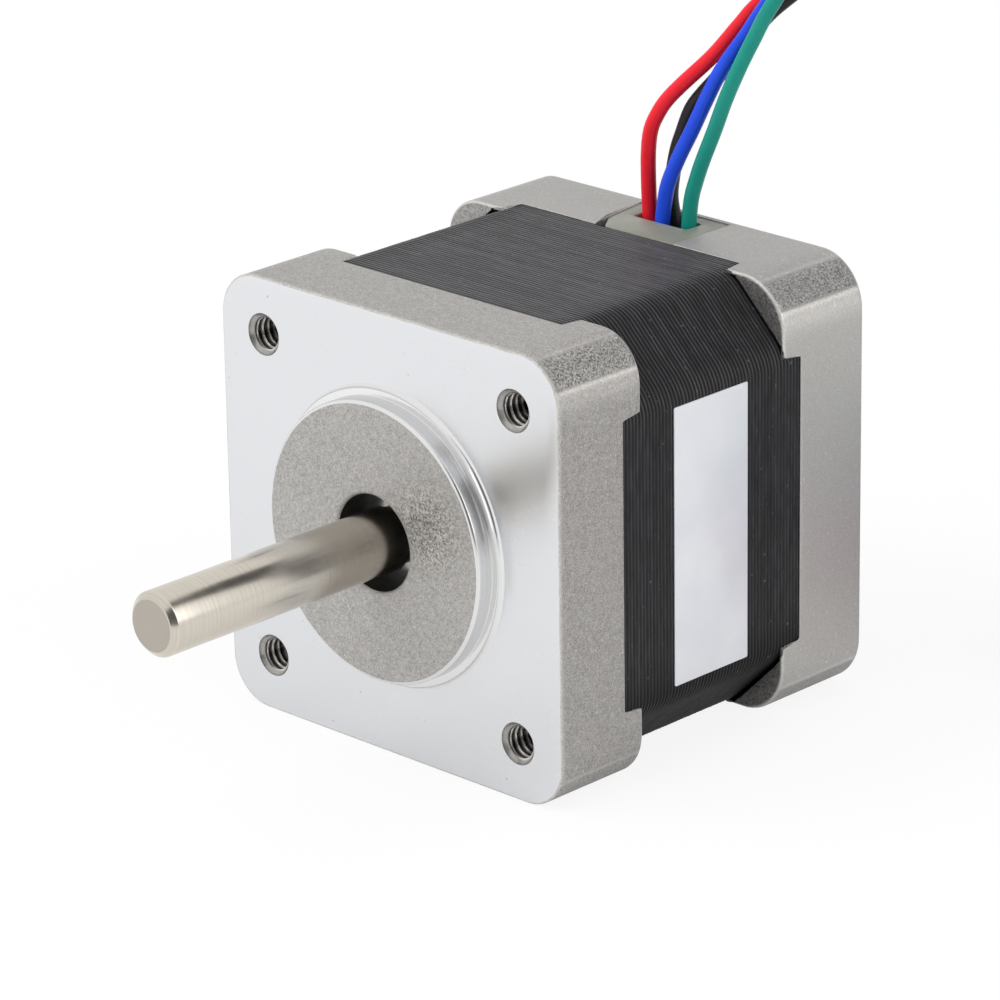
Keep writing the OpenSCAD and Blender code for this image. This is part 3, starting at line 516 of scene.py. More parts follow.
def coil_of(i, straight):
    """Put-away part of lead i: a spiral in, half a turn down at the inner radius, and a spiral out in
    the lower layer. The radius falls and grows by one step each turn, and the turns out are as many
    as the length that the straight stretch leaves."""
    entry = COIL_FOOT + i * COIL_STACK + COIL_LAYER
    inward = math.pi * (COIL_R0 + COIL_R1) * COIL_IN
    outward = LEAD_L - TIP_L - straight - inward - math.pi * COIL_R1 - 2 * LEAD_D
    turns_out = (math.sqrt(COIL_R1 ** 2 + COIL_STEP * outward / math.pi) - COIL_R1) / COIL_STEP
    turns = COIL_IN + 0.5 + turns_out
    n = np.linspace(0, turns, round(turns * 40) + 1)[:, None]
    radius = COIL_R1 + COIL_STEP * np.maximum(np.maximum(COIL_IN - n, n - COIL_IN - 0.5), 0)
    drop = COIL_LAYER * np.clip(2 * (n - COIL_IN), 0, 1)
    centre = turned((COIL_ALONG + LEAD_D, COIL_ACROSS - COIL_R0, entry))
    bends = centre - drop * UP + radius * (np.sin(TAU * n) * ALONG + np.cos(TAU * n) * ACROSS)
    start = turned((COIL_ALONG, COIL_ACROSS, entry))
    return np.vstack([start, bends, bends[-1:] + LEAD_D * unit(bends[-1:] - bends[-2:-1])])


def tube_rings(path, radius, sides, up):
    """Rings of points round a path: centre + radius * (cos a * top + sin a * side), where side is
    square to the heading and to up."""
    ahead = unit(np.gradient(path, axis=0))
    side = unit(np.cross(ahead, up))
    top = np.cross(side, ahead)
    a = turn(sides)[None, :, None]
    return path[:, None] + radius * (np.cos(a) * top[:, None] + np.sin(a) * side[:, None])


def rod(rings):
    """A shell of the rings, closed flat at both ends."""
    shell = Shell()
    shell.grid(rings)
    shell.cap(rings[0])
    shell.cap(rings[-1])
    return shell


def tinned_end(name, start, heading):
    """Bare end of a lead: seven strands, which show as lobes 1 + 0.07 cos(7 (a + 3.2 t)) of the
    radius that wind slowly along the end."""
    sides, strands, lobe, winding = 42, 7, 0.07, 3.2
    along = np.linspace(0, 1, 25)[:, None]
    line = start + along * TIP_L * heading
    rings = tube_rings(line, TIP_D / 2, sides, UP + 0 * line)
    lobes = 1 + lobe * np.cos(strands * (turn(sides) + winding * along))
    rings = line[:, None] + (rings - line[:, None]) * (lobes / (1 + lobe))[..., None]
    tip = rod(rings).build(f"{name}_tinned_end", [TINNED], sharp=60)
    return ride(tip, "housing", f"lead_tip_{name}", slot="tip")


def lead(i, name):
    """One lead, from its terminal through its free stretch and its coil, and its bare tinned end.
    The rings' upward side turns from the lead plane's normal to the vertical before the coil."""
    entry = (COIL_ALONG, COIL_ACROSS, COIL_FOOT + i * COIL_STACK + COIL_LAYER)
    route = turned(ROUTES[name] + [entry])
    free = smooth_route(route, 2.0)
    chords = np.diff(smooth_route(route, 1 / 3.6), axis=0)
    coil = coil_of(i, np.linalg.norm(chords, axis=1).sum())
    path = np.vstack([free, coil[1:]])
    share = smooth_step(0.0, 1.0, (np.arange(len(path)) - len(free) + 12) / 10.0)[:, None]
    up = unit(ACROSS * (1 - share) + UP * share)
    wire = rod(tube_rings(path, LEAD_D / 2, 16, up))
    piece = ride(wire.build(f"{name}_lead_wire", [INSULATION[name]], sharp=50), "housing",
                 f"lead_{name}", f"lead_coil_{name}", slot=f"lead_{name}")
    return piece, path, tinned_end(name, coil[-1], unit(coil[-1] - coil[-2]))


def make_leads():
    """The four leads and the two ties round their coils."""
    made = [lead(i, name) for i, name in enumerate(("black", "red", "blue", "green"))]
    ties = make_ties()


def make_ties():
    """Two flat bands round the pile of coils: each is a rounded rectangle in the upright plane
    through the pile's middle, with a flat section."""
    r_in = COIL_R1 - LEAD_D / 2 - TIE_GAP
    r_out = COIL_R0 + LEAD_D / 2 + TIE_GAP
    z_in, z_out = FLOOR_Z + TIE_T, COIL_FOOT + 3 * COIL_STACK + COIL_LAYER + LEAD_D / 2 + TIE_GAP
    centre = turned((COIL_ALONG + LEAD_D, COIL_ACROSS - COIL_R0, 0))[0]
    shell = Shell()
    middle_r, half_r = (r_out + r_in) / 2, (r_out - r_in) / 2
    middle_z, half_z = (z_out + z_in) / 2, (z_out - z_in) / 2
    edge, bevel = TIE_W / 2, TIE_W / 2 - 0.1
    widths = (-bevel, bevel, edge, bevel, -bevel, -edge)
    grown = (0.0, 0.0, TIE_T * 0.5, TIE_T, TIE_T, TIE_T * 0.5)
    for sign in (1, -1):
        loops = [rounded_loop(middle_r, middle_z, half_r + g, half_z + g, 0.5 + g, 6) for g in grown]
        rings = [centre + sign * (loop[:, :1] * ALONG) + loop[:, 1:] * UP + width * ACROSS
                 for loop, width in zip(loops, widths)]
        shell.grid(np.stack(rings + rings[:1]))
    return ride(shell.build("lead_coil_ties", [TIE_PLASTIC]), "housing", "coil_ties", slot="tie")


def rounded_loop(cx, cy, half_x, half_y, r, n, side=1):
    """Closed loop of a rectangle with rounded corners: n points on each corner's quarter circle and
    side points along each straight side."""
    points = []
    arcs = []
    for sx, sy, start in ((1, 1, 0), (-1, 1, 90), (-1, -1, 180), (1, -1, 270)):
        a = np.radians(start + np.linspace(0, 90, n))
        middle = (cx + sx * (half_x - r), cy + sy * (half_y - r))
        arcs.append(middle + r * np.stack([np.cos(a), np.sin(a)], -1))
    for k, arc in enumerate(arcs):
        after = arcs[(k + 1) % 4][0]
        share = (np.arange(1, side) / side)[:, None]
        points += [arc, arc[-1] + share * (after - arc[-1])]
    return np.vstack(points)


make_leads()


# Outlines across the motor

def folded(theta):
    """Angle from the nearest side's middle, from 0 to 45 degrees."""
    return np.abs(np.mod(theta + math.pi / 4, math.pi / 2) - math.pi / 4)


def stator_reach(theta, gap):
    """Distance from the middle to the stator's outline, grown by gap. It is a square with corners cut
    at 45 degrees and edges rounded: the nearer of side and cut, or the edge's circle between its two
    touching points."""
    half, r = STATOR_HALF + gap, STATOR_ROUND
    a = folded(theta)
    c, s = np.cos(a), np.sin(a)
    cx, cy = half - r, half - STATOR_LEG - r * math.tan(math.pi / 8)
    along = c * cx + s * cy
    circle = along + np.sqrt(np.maximum(along ** 2 - cx ** 2 - cy ** 2 + r ** 2, 0))
    first = math.atan2(cy, half)
    second = math.atan2(cy + r * math.sqrt(0.5), cx + r * math.sqrt(0.5))
    cut = (2 * half - STATOR_LEG) / (c + s)
    return np.where(a < first, half / c, np.where(a < second, circle, cut))


def reach_square(theta, half, r):
    """Distance from the middle to a square with corners rounded by r."""
    a = folded(theta)
    c, s = np.cos(a), np.sin(a)
    along = (c + s) * (half - r)
    circle = along + np.sqrt(np.maximum(along ** 2 - 2 * (half - r) ** 2 + r ** 2, 0))
    return np.where(a < np.arctan2(half - r, half), half / c, circle)


def ring_angles():
    """Angles round the motor, closer together at the lugs' ends and at the corners' edges."""
    part = np.radians([
        0, 4, 8, 12, 16, 20, 24, 28, 31, 32.2, 32.8, 33.05, 33.2, 33.35, 33.5, 33.65, 33.8, 33.95, 34.2,
        35, 36.5, 38.26, 39, 39.7, 40.3, 40.7, 41.1, 41.5, 41.9, 42.3, 42.8, 43.5, 44.2, 45])
    octants = [k * math.pi / 2 + sign * part for k in range(4) for sign in (1, -1)]
    return np.unique(np.round(np.mod(np.concatenate(octants), TAU), 9))


def ring(reach, y, theta):
    """One ring of points at reach from the middle and at height y along the motor."""
    reach, y = reach + 0 * theta, y + 0 * theta
    return np.stack([reach * np.cos(theta), y, reach * np.sin(theta)], -1)


def holed_quarter(shell, outer, inner_r, theta, q, hole_r, mark):
    """Quarter q of the flat end face at y = 0 between the outline and the circle of inner_r, with one
    round hole: the loop round the quarter is drawn in, ring by ring, to the hole's rim on straight
    lines to the hole's middle. Returns the angles of the loop's points, seen from the hole, and the
    hole's middle."""
    low, high = q * math.pi / 2, (q + 1) * math.pi / 2
    t, far = np.append(theta, TAU), np.append(outer, outer[0])
    pick = (t >= low - 1e-6) & (t <= high + 1e-6)
    around_axis = np.stack([np.cos(t[pick]), np.sin(t[pick])], -1)
    far_edge, near_edge = far[pick][:, None] * around_axis, inner_r * around_axis
    share = (np.arange(1, 12) / 12)[:, None]
    loop = np.vstack([far_edge, far_edge[-1] + share * (near_edge[-1] - far_edge[-1]), near_edge[::-1],
                      near_edge[0] + share * (far_edge[0] - near_edge[0])])
    diagonal = (low + high) / 2
    middle = HOLE_AT * np.sign([math.cos(diagonal), math.sin(diagonal)])
    rim = middle + hole_r * unit(loop - middle)
    steps = np.array([0, 0.05, 0.14, 0.3, 0.6, 1.0])[:, None, None]
    flat = rim + steps * (loop - rim)
    shell.grid(np.stack([flat[..., 0], np.zeros(flat.shape[:2]), flat[..., 1]], -1), mark)
    away = loop - middle
    return np.arctan2(away[:, 1], away[:, 0]), middle


def bell_rings(theta, side_l, lug_l, outline, face_edge, painted_side_light=0.0):
    """Outer skin of a bell, from the rim of its end face over the rounded edge, down the side walls
    to the lugs' ends: rows of (reach, y), the marks of painted light and wear along them, the lugs'
    ends, and a mark that is 0 on the side walls and 1 on the lugs, with a soft slanted step between
    them. The last argument brightens the side walls across X as painted light."""
    width = outline - face_edge
    turn_at = np.degrees(folded(theta))
    lug = smooth_step(11.4, 11.8, outline * np.sin(folded(theta)))
    end = side_l + (lug_l - side_l) * lug
    corner = 0.08 + 0.22 * lug
    # Marks of the two sides across X, of the upper half, and of the corners, which are left rough
    on_side = smooth_step(-0.2, 0.2, np.cos(theta) ** 2 - np.sin(theta) ** 2)
    upper = smooth_step(-0.2, 0.2, np.sin(theta))
    rough = smooth_step(41.3, 42.2, turn_at) * (0.4 + 0.6 * upper)
    # The edge before each corner gets a painted highlight along a thin line, with a wide soft one beside it
    ridge_highlight = np.exp(-((turn_at - 41.2) / 0.5) ** 2) * (0.3 + 0.9 * on_side) * (0.35 + 0.65 * upper)
    ridge_highlight += 0.45 * np.exp(-((turn_at - 39.6) / 1.8) ** 2) * on_side * upper
    # Painted light: the side walls across X are brightened, away from the corners
    lift = painted_side_light * on_side * (1 - rough)
    rows, light_and_wear = [(face_edge, 0)], [0.85 + 0 * theta]
    for a in np.radians([18, 36, 54, 72, 90]):
        rows.append((face_edge + width * math.sin(a), width * (1 - math.cos(a))))
        light_and_wear.append(0.75 - 0.5 * math.sin(a) ** 2 + 0.3 * ridge_highlight)
    for share in (0.03, 0.15, 0.4, 0.7, 0.95, 1.0):
        rows.append((outline, width + share * (end - corner - width)))
        light_and_wear.append(0.02 + lift + 0.7 * ridge_highlight - 1.0 * rough)
    # Round each lug's end the rounded edge gets a painted highlight. The end face gets a dark pitted patch
    # that is partly painted shade, and on the +X side it is darkened further as painted shadow.
    for a in np.radians([30, 60, 90]):
        rows.append((outline - corner * (1 - math.cos(a)), end - corner * (1 - math.sin(a))))
        light_and_wear.append(0.3 + 0.4 * lug if a < 1.2 else -lug * (0.6 + (np.cos(theta) > 0)))
    return rows, light_and_wear, end, lug


# Marks of the front bell's surfaces, in the order of its materials
CAST, FACE, BLAST, WALL, THREADED, BORE = range(6)
# The rear bell has cast and turned surfaces
TURNED = 1

# Turned profiles of the bells: (radius, y) from the cavity's rim on, the front one under its marks
FRONT_PROFILE = (
    (BORE, ((CAVITY_R, STATOR_Y0), (CAVITY_R, 3.3), (7.5, 3.3), (7.5, 4.8), (6.5, 4.8), (6.5, 0.8),
            (3.75, 0.8), (3.75, -1.45), (3.78, -1.58))),
    (BLAST, ((3.86, -1.7), (3.98, -1.78), (4.12, -1.8), *((r, -1.8) for r in range(5, 11)), (10.75, -1.8))),
    (WALL, ((10.82, -1.785), (10.97, -1.66), (11, -1.6), (11, -0.4), (11.02, -0.37), (11.06, -0.36),
            (11.5, -0.36), (11.545, -0.345), (11.56, -0.3), (11.6, -0.2), (11.68, -0.09), (11.8, -0.02),
            (PILOT_FOOT_R, 0))))
REAR_CAVITY = (
    (CAVITY_R, REAR_SIDE_L), (CAVITY_R, 3.3), (7.5, 3.3), (7.5, 5.5), (6.5, 5.5), (6.5, 1.0), (4.2, 1.0),
    (4.2, 0.15), (4.24, 0.05), (WINDOW_MOUTH_R, 0.0))
COUNTERBORE = ((COUNTERBORE_R, 0.0), (3.03, 0.04), (3.0, 0.14), (3.0, 2.8), (1.65, 2.8), (1.65, 5.0))


def thread(shell, angles, middle):
    """Countersunk mouth and cut thread of one hole: the wall's reach follows a triangle wave of the
    depth plus the turn, which makes one helix of the thread's pitch."""
    pitch, root, depth, bottom = 0.6, 1.24, 0.26, 4.6
    y = np.concatenate([[0.0, 0.02, 0.16, 0.3], np.arange(0.36, bottom, 0.05)])[:, None]
    wave = np.abs(2 * np.mod(y / pitch + angles / TAU, 1.0) - 1)
    cut = root + depth * np.clip(1.3 * wave - 0.15, 0, 1) * smooth_step(0.3, 0.6, y)
    reach = np.where(y < 0.34, HOLE_MOUTH_R - 0.9 * y, cut)
    points = np.stack([reach * np.cos(angles), y + 0 * angles, reach * np.sin(angles)], -1)
    points += (middle[0], 0.0, middle[1])
    # Painted shade: the roots are dark, and the crests darken deeper in the hole
    crest_light = smooth_step(0.5, 0.25, wave) * smooth_step(3.2, 0.9, y)
    light_and_wear = np.where(y < 0.05, 0.25, np.where(y < 0.34, 0.5, crest_light))
    shell.grid(points, THREADED, light_and_wear)
    shell.cap(points[-1], THREADED)


def make_front_bell():
    """Front bell: skin, machined end face with four threaded holes, centring pilot with its ledge,
    shaft window, bearing seat and cavity, all as one closed shell."""
    theta = ring_angles()
    face_edge = reach_square(theta, BODY_HALF - EDGE, BELL_CORNER - EDGE)
    outline = reach_square(theta, BODY_HALF, BELL_CORNER)
    rows, light_and_wear, end, _ = bell_rings(theta, STATOR_Y0, FRONT_LUG_L, outline, face_edge)
    inside = stator_reach(theta, SEAT_GAP)
    rows += [(inside, end), (inside, STATOR_Y0)]
    light_and_wear += [light_and_wear[-1]] * 2
    marks = [CAST] * (len(rows) - 1)
    # A smudge on the pilot's face, beside the shaft
    smudge_x, smudge_z, spread, depth = 5.8, 2.6, 12.0, 1.2
    for mark, profile in FRONT_PROFILE:
        for r, y in profile:
            rows.append((r, y))
            marks.append(mark)
            away = (r * np.cos(theta) - smudge_x) ** 2 + (r * np.sin(theta) - smudge_z) ** 2
            light_and_wear.append(-depth * np.exp(-away / spread) if 4 < r < 10.9 else 0 * theta)
    shell = Shell()
    grid = np.stack([ring(r, y, theta) for r, y in rows])
    shell.grid(grid, marks, np.stack(light_and_wear))
    for q in range(4):
        angles, middle = holed_quarter(shell, face_edge, PILOT_FOOT_R, theta, q, HOLE_MOUTH_R, FACE)
        thread(shell, angles, middle)
    finishes = [CAST_FRONT, MACHINED, BLASTED, PILOT_WALL, THREAD, DARK_BORE]
    piece = shell.build("front_end_bell", finishes, sharp=28)
    return ride(piece, "housing", "front_bell", slot="bell_front")


def make_rear_bell():
    """Rear bell: the same skin measured from the rear face, with the notch of the wire guide, four
    counterbores and the window behind the bearing."""
    theta = ring_angles()
    half_notch = math.atan2(NOTCH_HALF, BODY_HALF)
    # Three columns of points at each edge of the notch: two at full height, one at its floor
    edges = np.array([math.pi / 2 - half_notch, math.pi / 2 + half_notch])
    theta = np.sort(np.concatenate([theta, edges, edges, edges]))
    inside_notch = np.abs(theta - math.pi / 2) < half_notch + 1e-9
    at_edge = np.abs(np.abs(theta - math.pi / 2) - half_notch) < 1e-9
    right_far, right_wall, right_foot, left_foot, left_wall, left_far = np.flatnonzero(at_edge)
    full_height = np.zeros(len(theta), bool)
    full_height[[right_far, right_wall, left_wall, left_far]] = True
    inside_notch &= ~full_height

    def cut(y):
        """Heights with those inside the notch brought down to its floor."""
        return np.where(inside_notch, np.minimum(y, NOTCH_WALL), y)

    bend = BELL_CORNER + 0.6 * np.cos(theta)
    face_edge = reach_square(theta, BODY_HALF - EDGE, bend - EDGE)
    outline = reach_square(theta, BODY_HALF, bend)
    rows, light_and_wear, end, lug = bell_rings(theta, REAR_SIDE_L, REAR_LUG_L, outline, face_edge, 0.3)
    rows = [(r, cut(y)) for r, y in rows]
    inside = np.minimum(stator_reach(theta, SEAT_GAP) + 0.28 * lug, outline - 0.04)
    floor = np.where(inside_notch | full_height, CAVITY_R / np.sin(theta), inside)
    rows += [(floor, cut(end)), (floor, REAR_SIDE_L)]
    rows += REAR_CAVITY
    light_and_wear += [light_and_wear[-1]] * 2 + [0 * theta] * len(REAR_CAVITY)
    shell = Shell()
    grid = np.stack([ring(r, y, theta) for r, y in rows])
    # The left lip of the notch leans in towards the stator, from the skin to the cavity's rim
    skin, lip, lean, taper = slice(1, 18), [left_wall, left_far], 1.1, 2.8
    grid[skin, lip, 0] += lean * np.clip(1 - (REAR_SIDE_L - grid[skin, lip, 1]) / taper, 0, 1)
    grid[:, right_wall, 0] -= 0.02
    grid[:, left_wall, 0] += 0.02
    # The notch is shaded, most on its left wall towards the stator
    light_and_wear = np.stack(light_and_wear)
    light_and_wear[:, inside_notch] = -0.3
    light_and_wear[:, [right_wall, right_foot, left_foot, left_wall]] = -0.6
    light_and_wear[grid[:, left_wall, 1] > 3.6, left_wall] = -1.9
    shell.grid(grid, CAST, light_and_wear)
    for q in range(4):
        angles, middle = holed_quarter(shell, face_edge, WINDOW_MOUTH_R, theta, q, COUNTERBORE_R, CAST)
        bore = lathe(COUNTERBORE, angles, middle)
        shell.grid(bore, TURNED, 0.1)
        shell.cap(bore[-1], TURNED)
    for points in shell.points:
        points[:, 1] = BODY_L - points[:, 1]
    piece = shell.build("rear_end_bell", [CAST_REAR, PILOT_WALL], sharp=28)
    return ride(piece, "housing", "rear_bell", slot="bell_rear")


def make_stator():
    """Stack of sheets: each sheet stands out by its own small amount, with a groove on both sides.
    Its mark is its own tone times a shade, 1 on the edge and 0 in the groove, drawn towards 0.3 on
    the flat sides: the bright edge is a painted highlight and the dark groove painted shade. The top
    gets a painted sheen and the lower part painted shade. Poles, slots, bore and end faces are those
    of the solid."""
    theta = ring_angles()
    sheets = 54
    pitch = (STATOR_Y1 - STATOR_Y0) / sheets
    rng = np.random.default_rng(7)
    stand = rng.uniform(-0.012, 0.0, sheets)
    tone = rng.uniform(0.65, 1.0, sheets)
    # Marks of the top, of the lower part and of the flat sides
    top = np.clip((np.sin(theta) - 0.82) / 0.06, 0, 1)
    low = np.clip((-np.sin(theta) - 0.45) / 0.1, 0, 1)
    flat = np.maximum(top, np.clip((np.abs(np.cos(theta)) - 0.82) / 0.06, 0, 1))
    # Painted light: a painted sheen on the top and painted shade on the lower part
    sheen_and_shade = 1 + 1.3 * top - 0.8 * low
    evened = 0.15 + 0.55 * flat
    # One sheet: (share of the pitch, depth below its edge, shade), from the groove on
    sheet = ((0.0, 0.06, 0.0), (0.25, 0.012, 0.1), (0.5, 0.0, 1.0), (0.75, 0.012, 0.1))
    rows, light_and_wear = [], []
    for k in range(sheets):
        for share, down, shade in sheet:
            reach = stator_reach(theta, stand[k] - down)
            rows.append(ring(reach, STATOR_Y0 + (k + share) * pitch, theta))
            light_and_wear.append(tone[k] * sheen_and_shade * (shade + evened * (0.3 - shade)))
    sunk = stator_reach(theta, -0.5)
    rows = [ring(sunk, STATOR_Y0, theta)] + rows
    rows += [ring(stator_reach(theta, -0.055), STATOR_Y1, theta), ring(sunk, STATOR_Y1, theta)]
    light_and_wear = [light_and_wear[0]] + light_and_wear + [light_and_wear[0]] * 2
    shell = Shell()
    # The columns are reversed so that the faces look outwards
    shell.grid(np.stack(rows)[:, ::-1], 0, np.stack(light_and_wear)[:, ::-1])
    solid = nodes["stator_core"].data
    points = np.zeros(len(solid.vertices) * 3)
    solid.vertices.foreach_get("co", points)
    points = points.reshape(-1, 3) / MM
    # The solid's own outer walls, whose points all lie on the core's rim, are left out
    across = np.abs(points[:, [0, 2]])
    rim = (across.max(1) > 17.35) | (across.sum(1) > 29.4)
    kept = [list(f.vertices) for f in solid.polygons if not all(rim[v] for v in f.vertices)]
    shell.add(points, kept, [0] * len(kept), np.full(len(points), 0.3))
    piece = shell.build("stator_sheet_stack", [STACK], sharp=40, outward=False)
    return ride(piece, "housing", "stator_core", slot="core")


def around(corners, r, n=5):
    """Closed loop through corners given in turn: each corner is a bend of n points, blended by
    (1 - t)^2, 2t(1 - t) and t^2 from the points r before it, at it and r after it. On a short side
    r is at most 0.45 of the side."""
    p = np.asarray(corners, float)

    def towards(other):
        side = other - p
        length = np.linalg.norm(side, axis=1, keepdims=True)
        return p + np.minimum(r, 0.45 * length) * unit(side)

    back, on = towards(np.roll(p, 1, 0)), towards(np.roll(p, -1, 0))
    t = np.linspace(0, 1, n)[None, :, None]
    bend = (1 - t) ** 2 * back[:, None] + 2 * t * (1 - t) * p[:, None] + t ** 2 * on[:, None]
    return bend.reshape(-1, 2)


def make_wire_guide():
    """Wire guide: loops from its foot over its rounded rim, across its top and down the open well,
    joined corner to corner. Its front left corner is cut off, and the well fits round the leads."""
    outer = around([(1.6, 32.94), (-1.4, 32.94), (-4.5, 32.94), (-4.5, 31.2), (-4.5, 29.1),
                    (-2.6, 26.45), (4.5, 26.45), (4.5, 31.4), (4.5, 32.94)], 0.35)
    well = around([(1.2, 32.55), (-0.95, 32.55), (-0.95, 31.75), (-2.75, 31.75), (-2.75, 29.9),
                   (-1.4, 29.9), (2.7, 29.9), (2.7, 31.75), (1.2, 31.75)], 0.3)

    def drawn_in(loop, g):
        """The loop with every point moved by g towards its middle."""
        middle = loop.mean(0)
        return loop + g * unit(middle - loop)

    rows = [(outer, 15.3), (outer, 17.26), (drawn_in(outer, 0.04), 17.39),
            (drawn_in(outer, 0.14), 17.44), (drawn_in(well, -0.1), 17.44),
            (drawn_in(well, -0.04), 17.4), (well, 17.3), (well, 15.3), (outer, 15.3)]
    grid = np.stack([np.stack([p[:, 0], p[:, 1], np.full(len(p), z)], -1) for p, z in rows])
    shell = Shell()
    shell.grid(grid)
    return ride(shell.build("nylon_wire_guide", [NYLON]), "housing", "wire_guide", slot="guide")


def make_label():
    """Bare label: a thin film with rounded corners and a rounded rim."""
    x0, x1 = STATOR_HALF - 0.01, STATOR_HALF + 0.09

    def loop(g):
        """The label's outline, drawn in by g."""
        return rounded_loop(16.35, 0, 4.05 - g, 11.0 - g, 0.14, 4, 10)

    rows = [(loop(0), x0), (loop(0), x1 - 0.03), (loop(0.02), x1 - 0.01), (loop(0.06), x1)]
    grid = np.stack([np.stack([np.full(len(p), x), p[:, 0], p[:, 1]], -1) for p, x in rows])
    shell = Shell()
    shell.grid(grid)
    shell.cap(grid[-1])
    shell.cap(grid[0])
    return ride(shell.build("blank_side_label", [LABEL_FILM]), "housing", "label", slot="label")


def make_shaft():
    """Shaft: turned profile with both chamfers and the relief in front of the bearing."""
    profile = [(0, -24), (1.2, -24), (1.98, -24), (2.05, -23.97), (2.1, -23.92), (2.44, -23.6),
               (2.48, -23.55), (2.5, -23.48), (2.5, -12), (2.5, -0.4), (2.25, -0.4), (2.25, 0.8),
               (2.5, 0.8), (2.5, 32.2), (2.47, 32.28), (2.05, 32.68), (2.0, 32.7), (0, 32.7)]
    shell = Shell()
    shell.grid(lathe(profile, turn(128)), [1] * 2 + [0] * (len(profile) - 4) + [1])
    piece = shell.build("motor_shaft", [SHAFT_STEEL, SHAFT_TIP], sharp=25)
    return ride(piece, "rotor", "shaft", slot="shaft")


def make_screws():
    """Four long screws: a head with a rounded rim and a cross recess. The top's height falls in the
    recess where either arm's mark is high."""
    shell = Shell()
    a = turn(96)
    radii = [0, 0.25, 0.35, 0.45, 0.6, 0.8, 1.0, 1.2, 1.4, 1.55, 1.7, 2.0, 2.3, 2.5, 2.62, 2.7, 2.75]
    r = np.array(radii)[:, None]
    x, z = r * np.cos(a), r * np.sin(a)

    def slit(across, along):
        """1 within one arm of the cross and 0 outside it, with soft walls."""
        return smooth_step(0.5, 0.28, np.abs(across)) * smooth_step(1.65, 1.4, np.abs(along))

    arm = np.maximum(slit(x, z), slit(z, x))
    rim = np.maximum(r - 2.35, 0) / 0.4
    top = 33.3 - 1.1 * arm - 0.28 * rim ** 2
    profile = [(2.75, 33.02), (2.75, 31.35), (2.7, 31.3), (1.5, 31.3), (1.5, 5.1), (1.2, 4.8), (0, 4.8)]
    for sx in (1, -1):
        for sz in (1, -1):
            at = (sx * HOLE_AT, sz * HOLE_AT)
            head = np.stack([at[0] + x, top, at[1] + z], -1)
            shell.grid(np.concatenate([head, lathe(profile, a, at)[1:]]))
    piece = shell.build("long_screws", [SCREW_STEEL], sharp=30)
    return ride(piece, "housing", "through_screws", slot="screw")


make_front_bell()
make_rear_bell()
make_stator()
make_wire_guide()
make_label()
make_shaft()
make_screws()


# Finishes of the inner solids

def dress(names, made):
    """Give the named inner solids one finish."""
    for name in names:
        data = nodes[name].data
        data.materials.clear()
        data.materials.append(made)


BEARING_STEEL = turned_metal("bearing_steel", (0.66, 0.66, 0.67), (0.82, 0.82, 0.83), 0.18, 3000.0, 1e-6)
PRESSED_BRASS = turned_metal("pressed_brass", (0.55, 0.40, 0.16), (0.72, 0.55, 0.25), 0.3, 1500.0, 3e-6)
SHIELD_STEEL = turned_metal("shield_steel", (0.34, 0.34, 0.35), (0.5, 0.5, 0.51), 0.35, 1500.0, 3e-6)
CUP_STEEL = turned_metal("rotor_cup_steel", (0.30, 0.30, 0.31), (0.46, 0.46, 0.47), 0.35, 2200.0, 4e-6)
MAGNET = material(
    "sintered_magnet", cast_finish((0.12, 0.12, 0.13), (0.22, 0.22, 0.23), 4000.0, 1e-5), Metallic=0.8)
COPPER = material(
    "enamelled_copper", turned_finish((0.42, 0.13, 0.03), (0.62, 0.24, 0.07), 0.25, 5000.0, 1e-5),
    Metallic=0.9)
BOARD = material(
    "green_board", moulded_finish((0.02, 0.12, 0.05), (0.03, 0.17, 0.07), 2500.0, 4e-6, 0.35))
IVORY = material(
    "ivory_insulator", moulded_finish((0.72, 0.69, 0.58), (0.80, 0.77, 0.67), 2600.0, 6e-6, 0.5))
SOLDER = turned_metal("soft_solder", (0.55, 0.55, 0.57), (0.75, 0.75, 0.77), 0.25, 900.0, 6e-6)

for end in ("front", "rear"):
    dress([f"{end}_bearing_{p}" for p in ("outer_ring", "inner_ring", "balls")], BEARING_STEEL)
    dress([f"{end}_bearing_cage", f"{end}_spacer"], PRESSED_BRASS)
    dress([f"{end}_bearing_shields"], SHIELD_STEEL)
    dress([f"{end}_rotor_cup"], CUP_STEEL)
    dress([f"{end}_insulator"], IVORY)
dress(["rotor_magnet"], MAGNET)
dress([f"pole_coil_{k}" for k in range(1, 9)], COPPER)
dress(["termination_board"], BOARD)
dress(["lead_terminals"], SOLDER)
dress(["spring_washers", "wave_washer"], SCREW_STEEL)


# Floor, backdrop and light

def seen_white(name, tone, hold, mirrored_hold):
    """Material of the floor: a diffuse tone that camera rays see mostly as plain white, so that the
    shadow stays faint. Glossy and transmitted rays see it less white."""
    made = bpy.data.materials.new(name)
    made.use_nodes = True
    w = Wires(made.node_tree)
    made.node_tree.nodes.remove(made.node_tree.nodes["Principled BSDF"])
    camera, mirrored = w.rays()
    seen = w.math("ADD", w.math("MULTIPLY", camera, hold), w.math("MULTIPLY", mirrored, mirrored_hold))
    plain = w.node("ShaderNodeBsdfDiffuse", {"Color": (*tone, 1.0)}).outputs[0]
    white = w.node("ShaderNodeEmission", {"Color": (1, 1, 1, 1), "Strength": 1.0}).outputs[0]
    mixed = w.node("ShaderNodeMixShader", {0: seen, 1: plain, 2: white}).outputs[0]
    made.node_tree.links.new(mixed, made.node_tree.nodes["Material Output"].inputs[0])
    return made


def card(name, corners, made):
    """A flat card of four corners, in metres, which isn't part of the object."""
    mesh = bpy.data.meshes.new(name)
    mesh.from_pydata(corners, [], [(0, 1, 2, 3)])
    mesh.materials.append(made)
    piece = bpy.data.objects.new(name, mesh)
    bpy.context.scene.collection.objects.link(piece)
    return piece


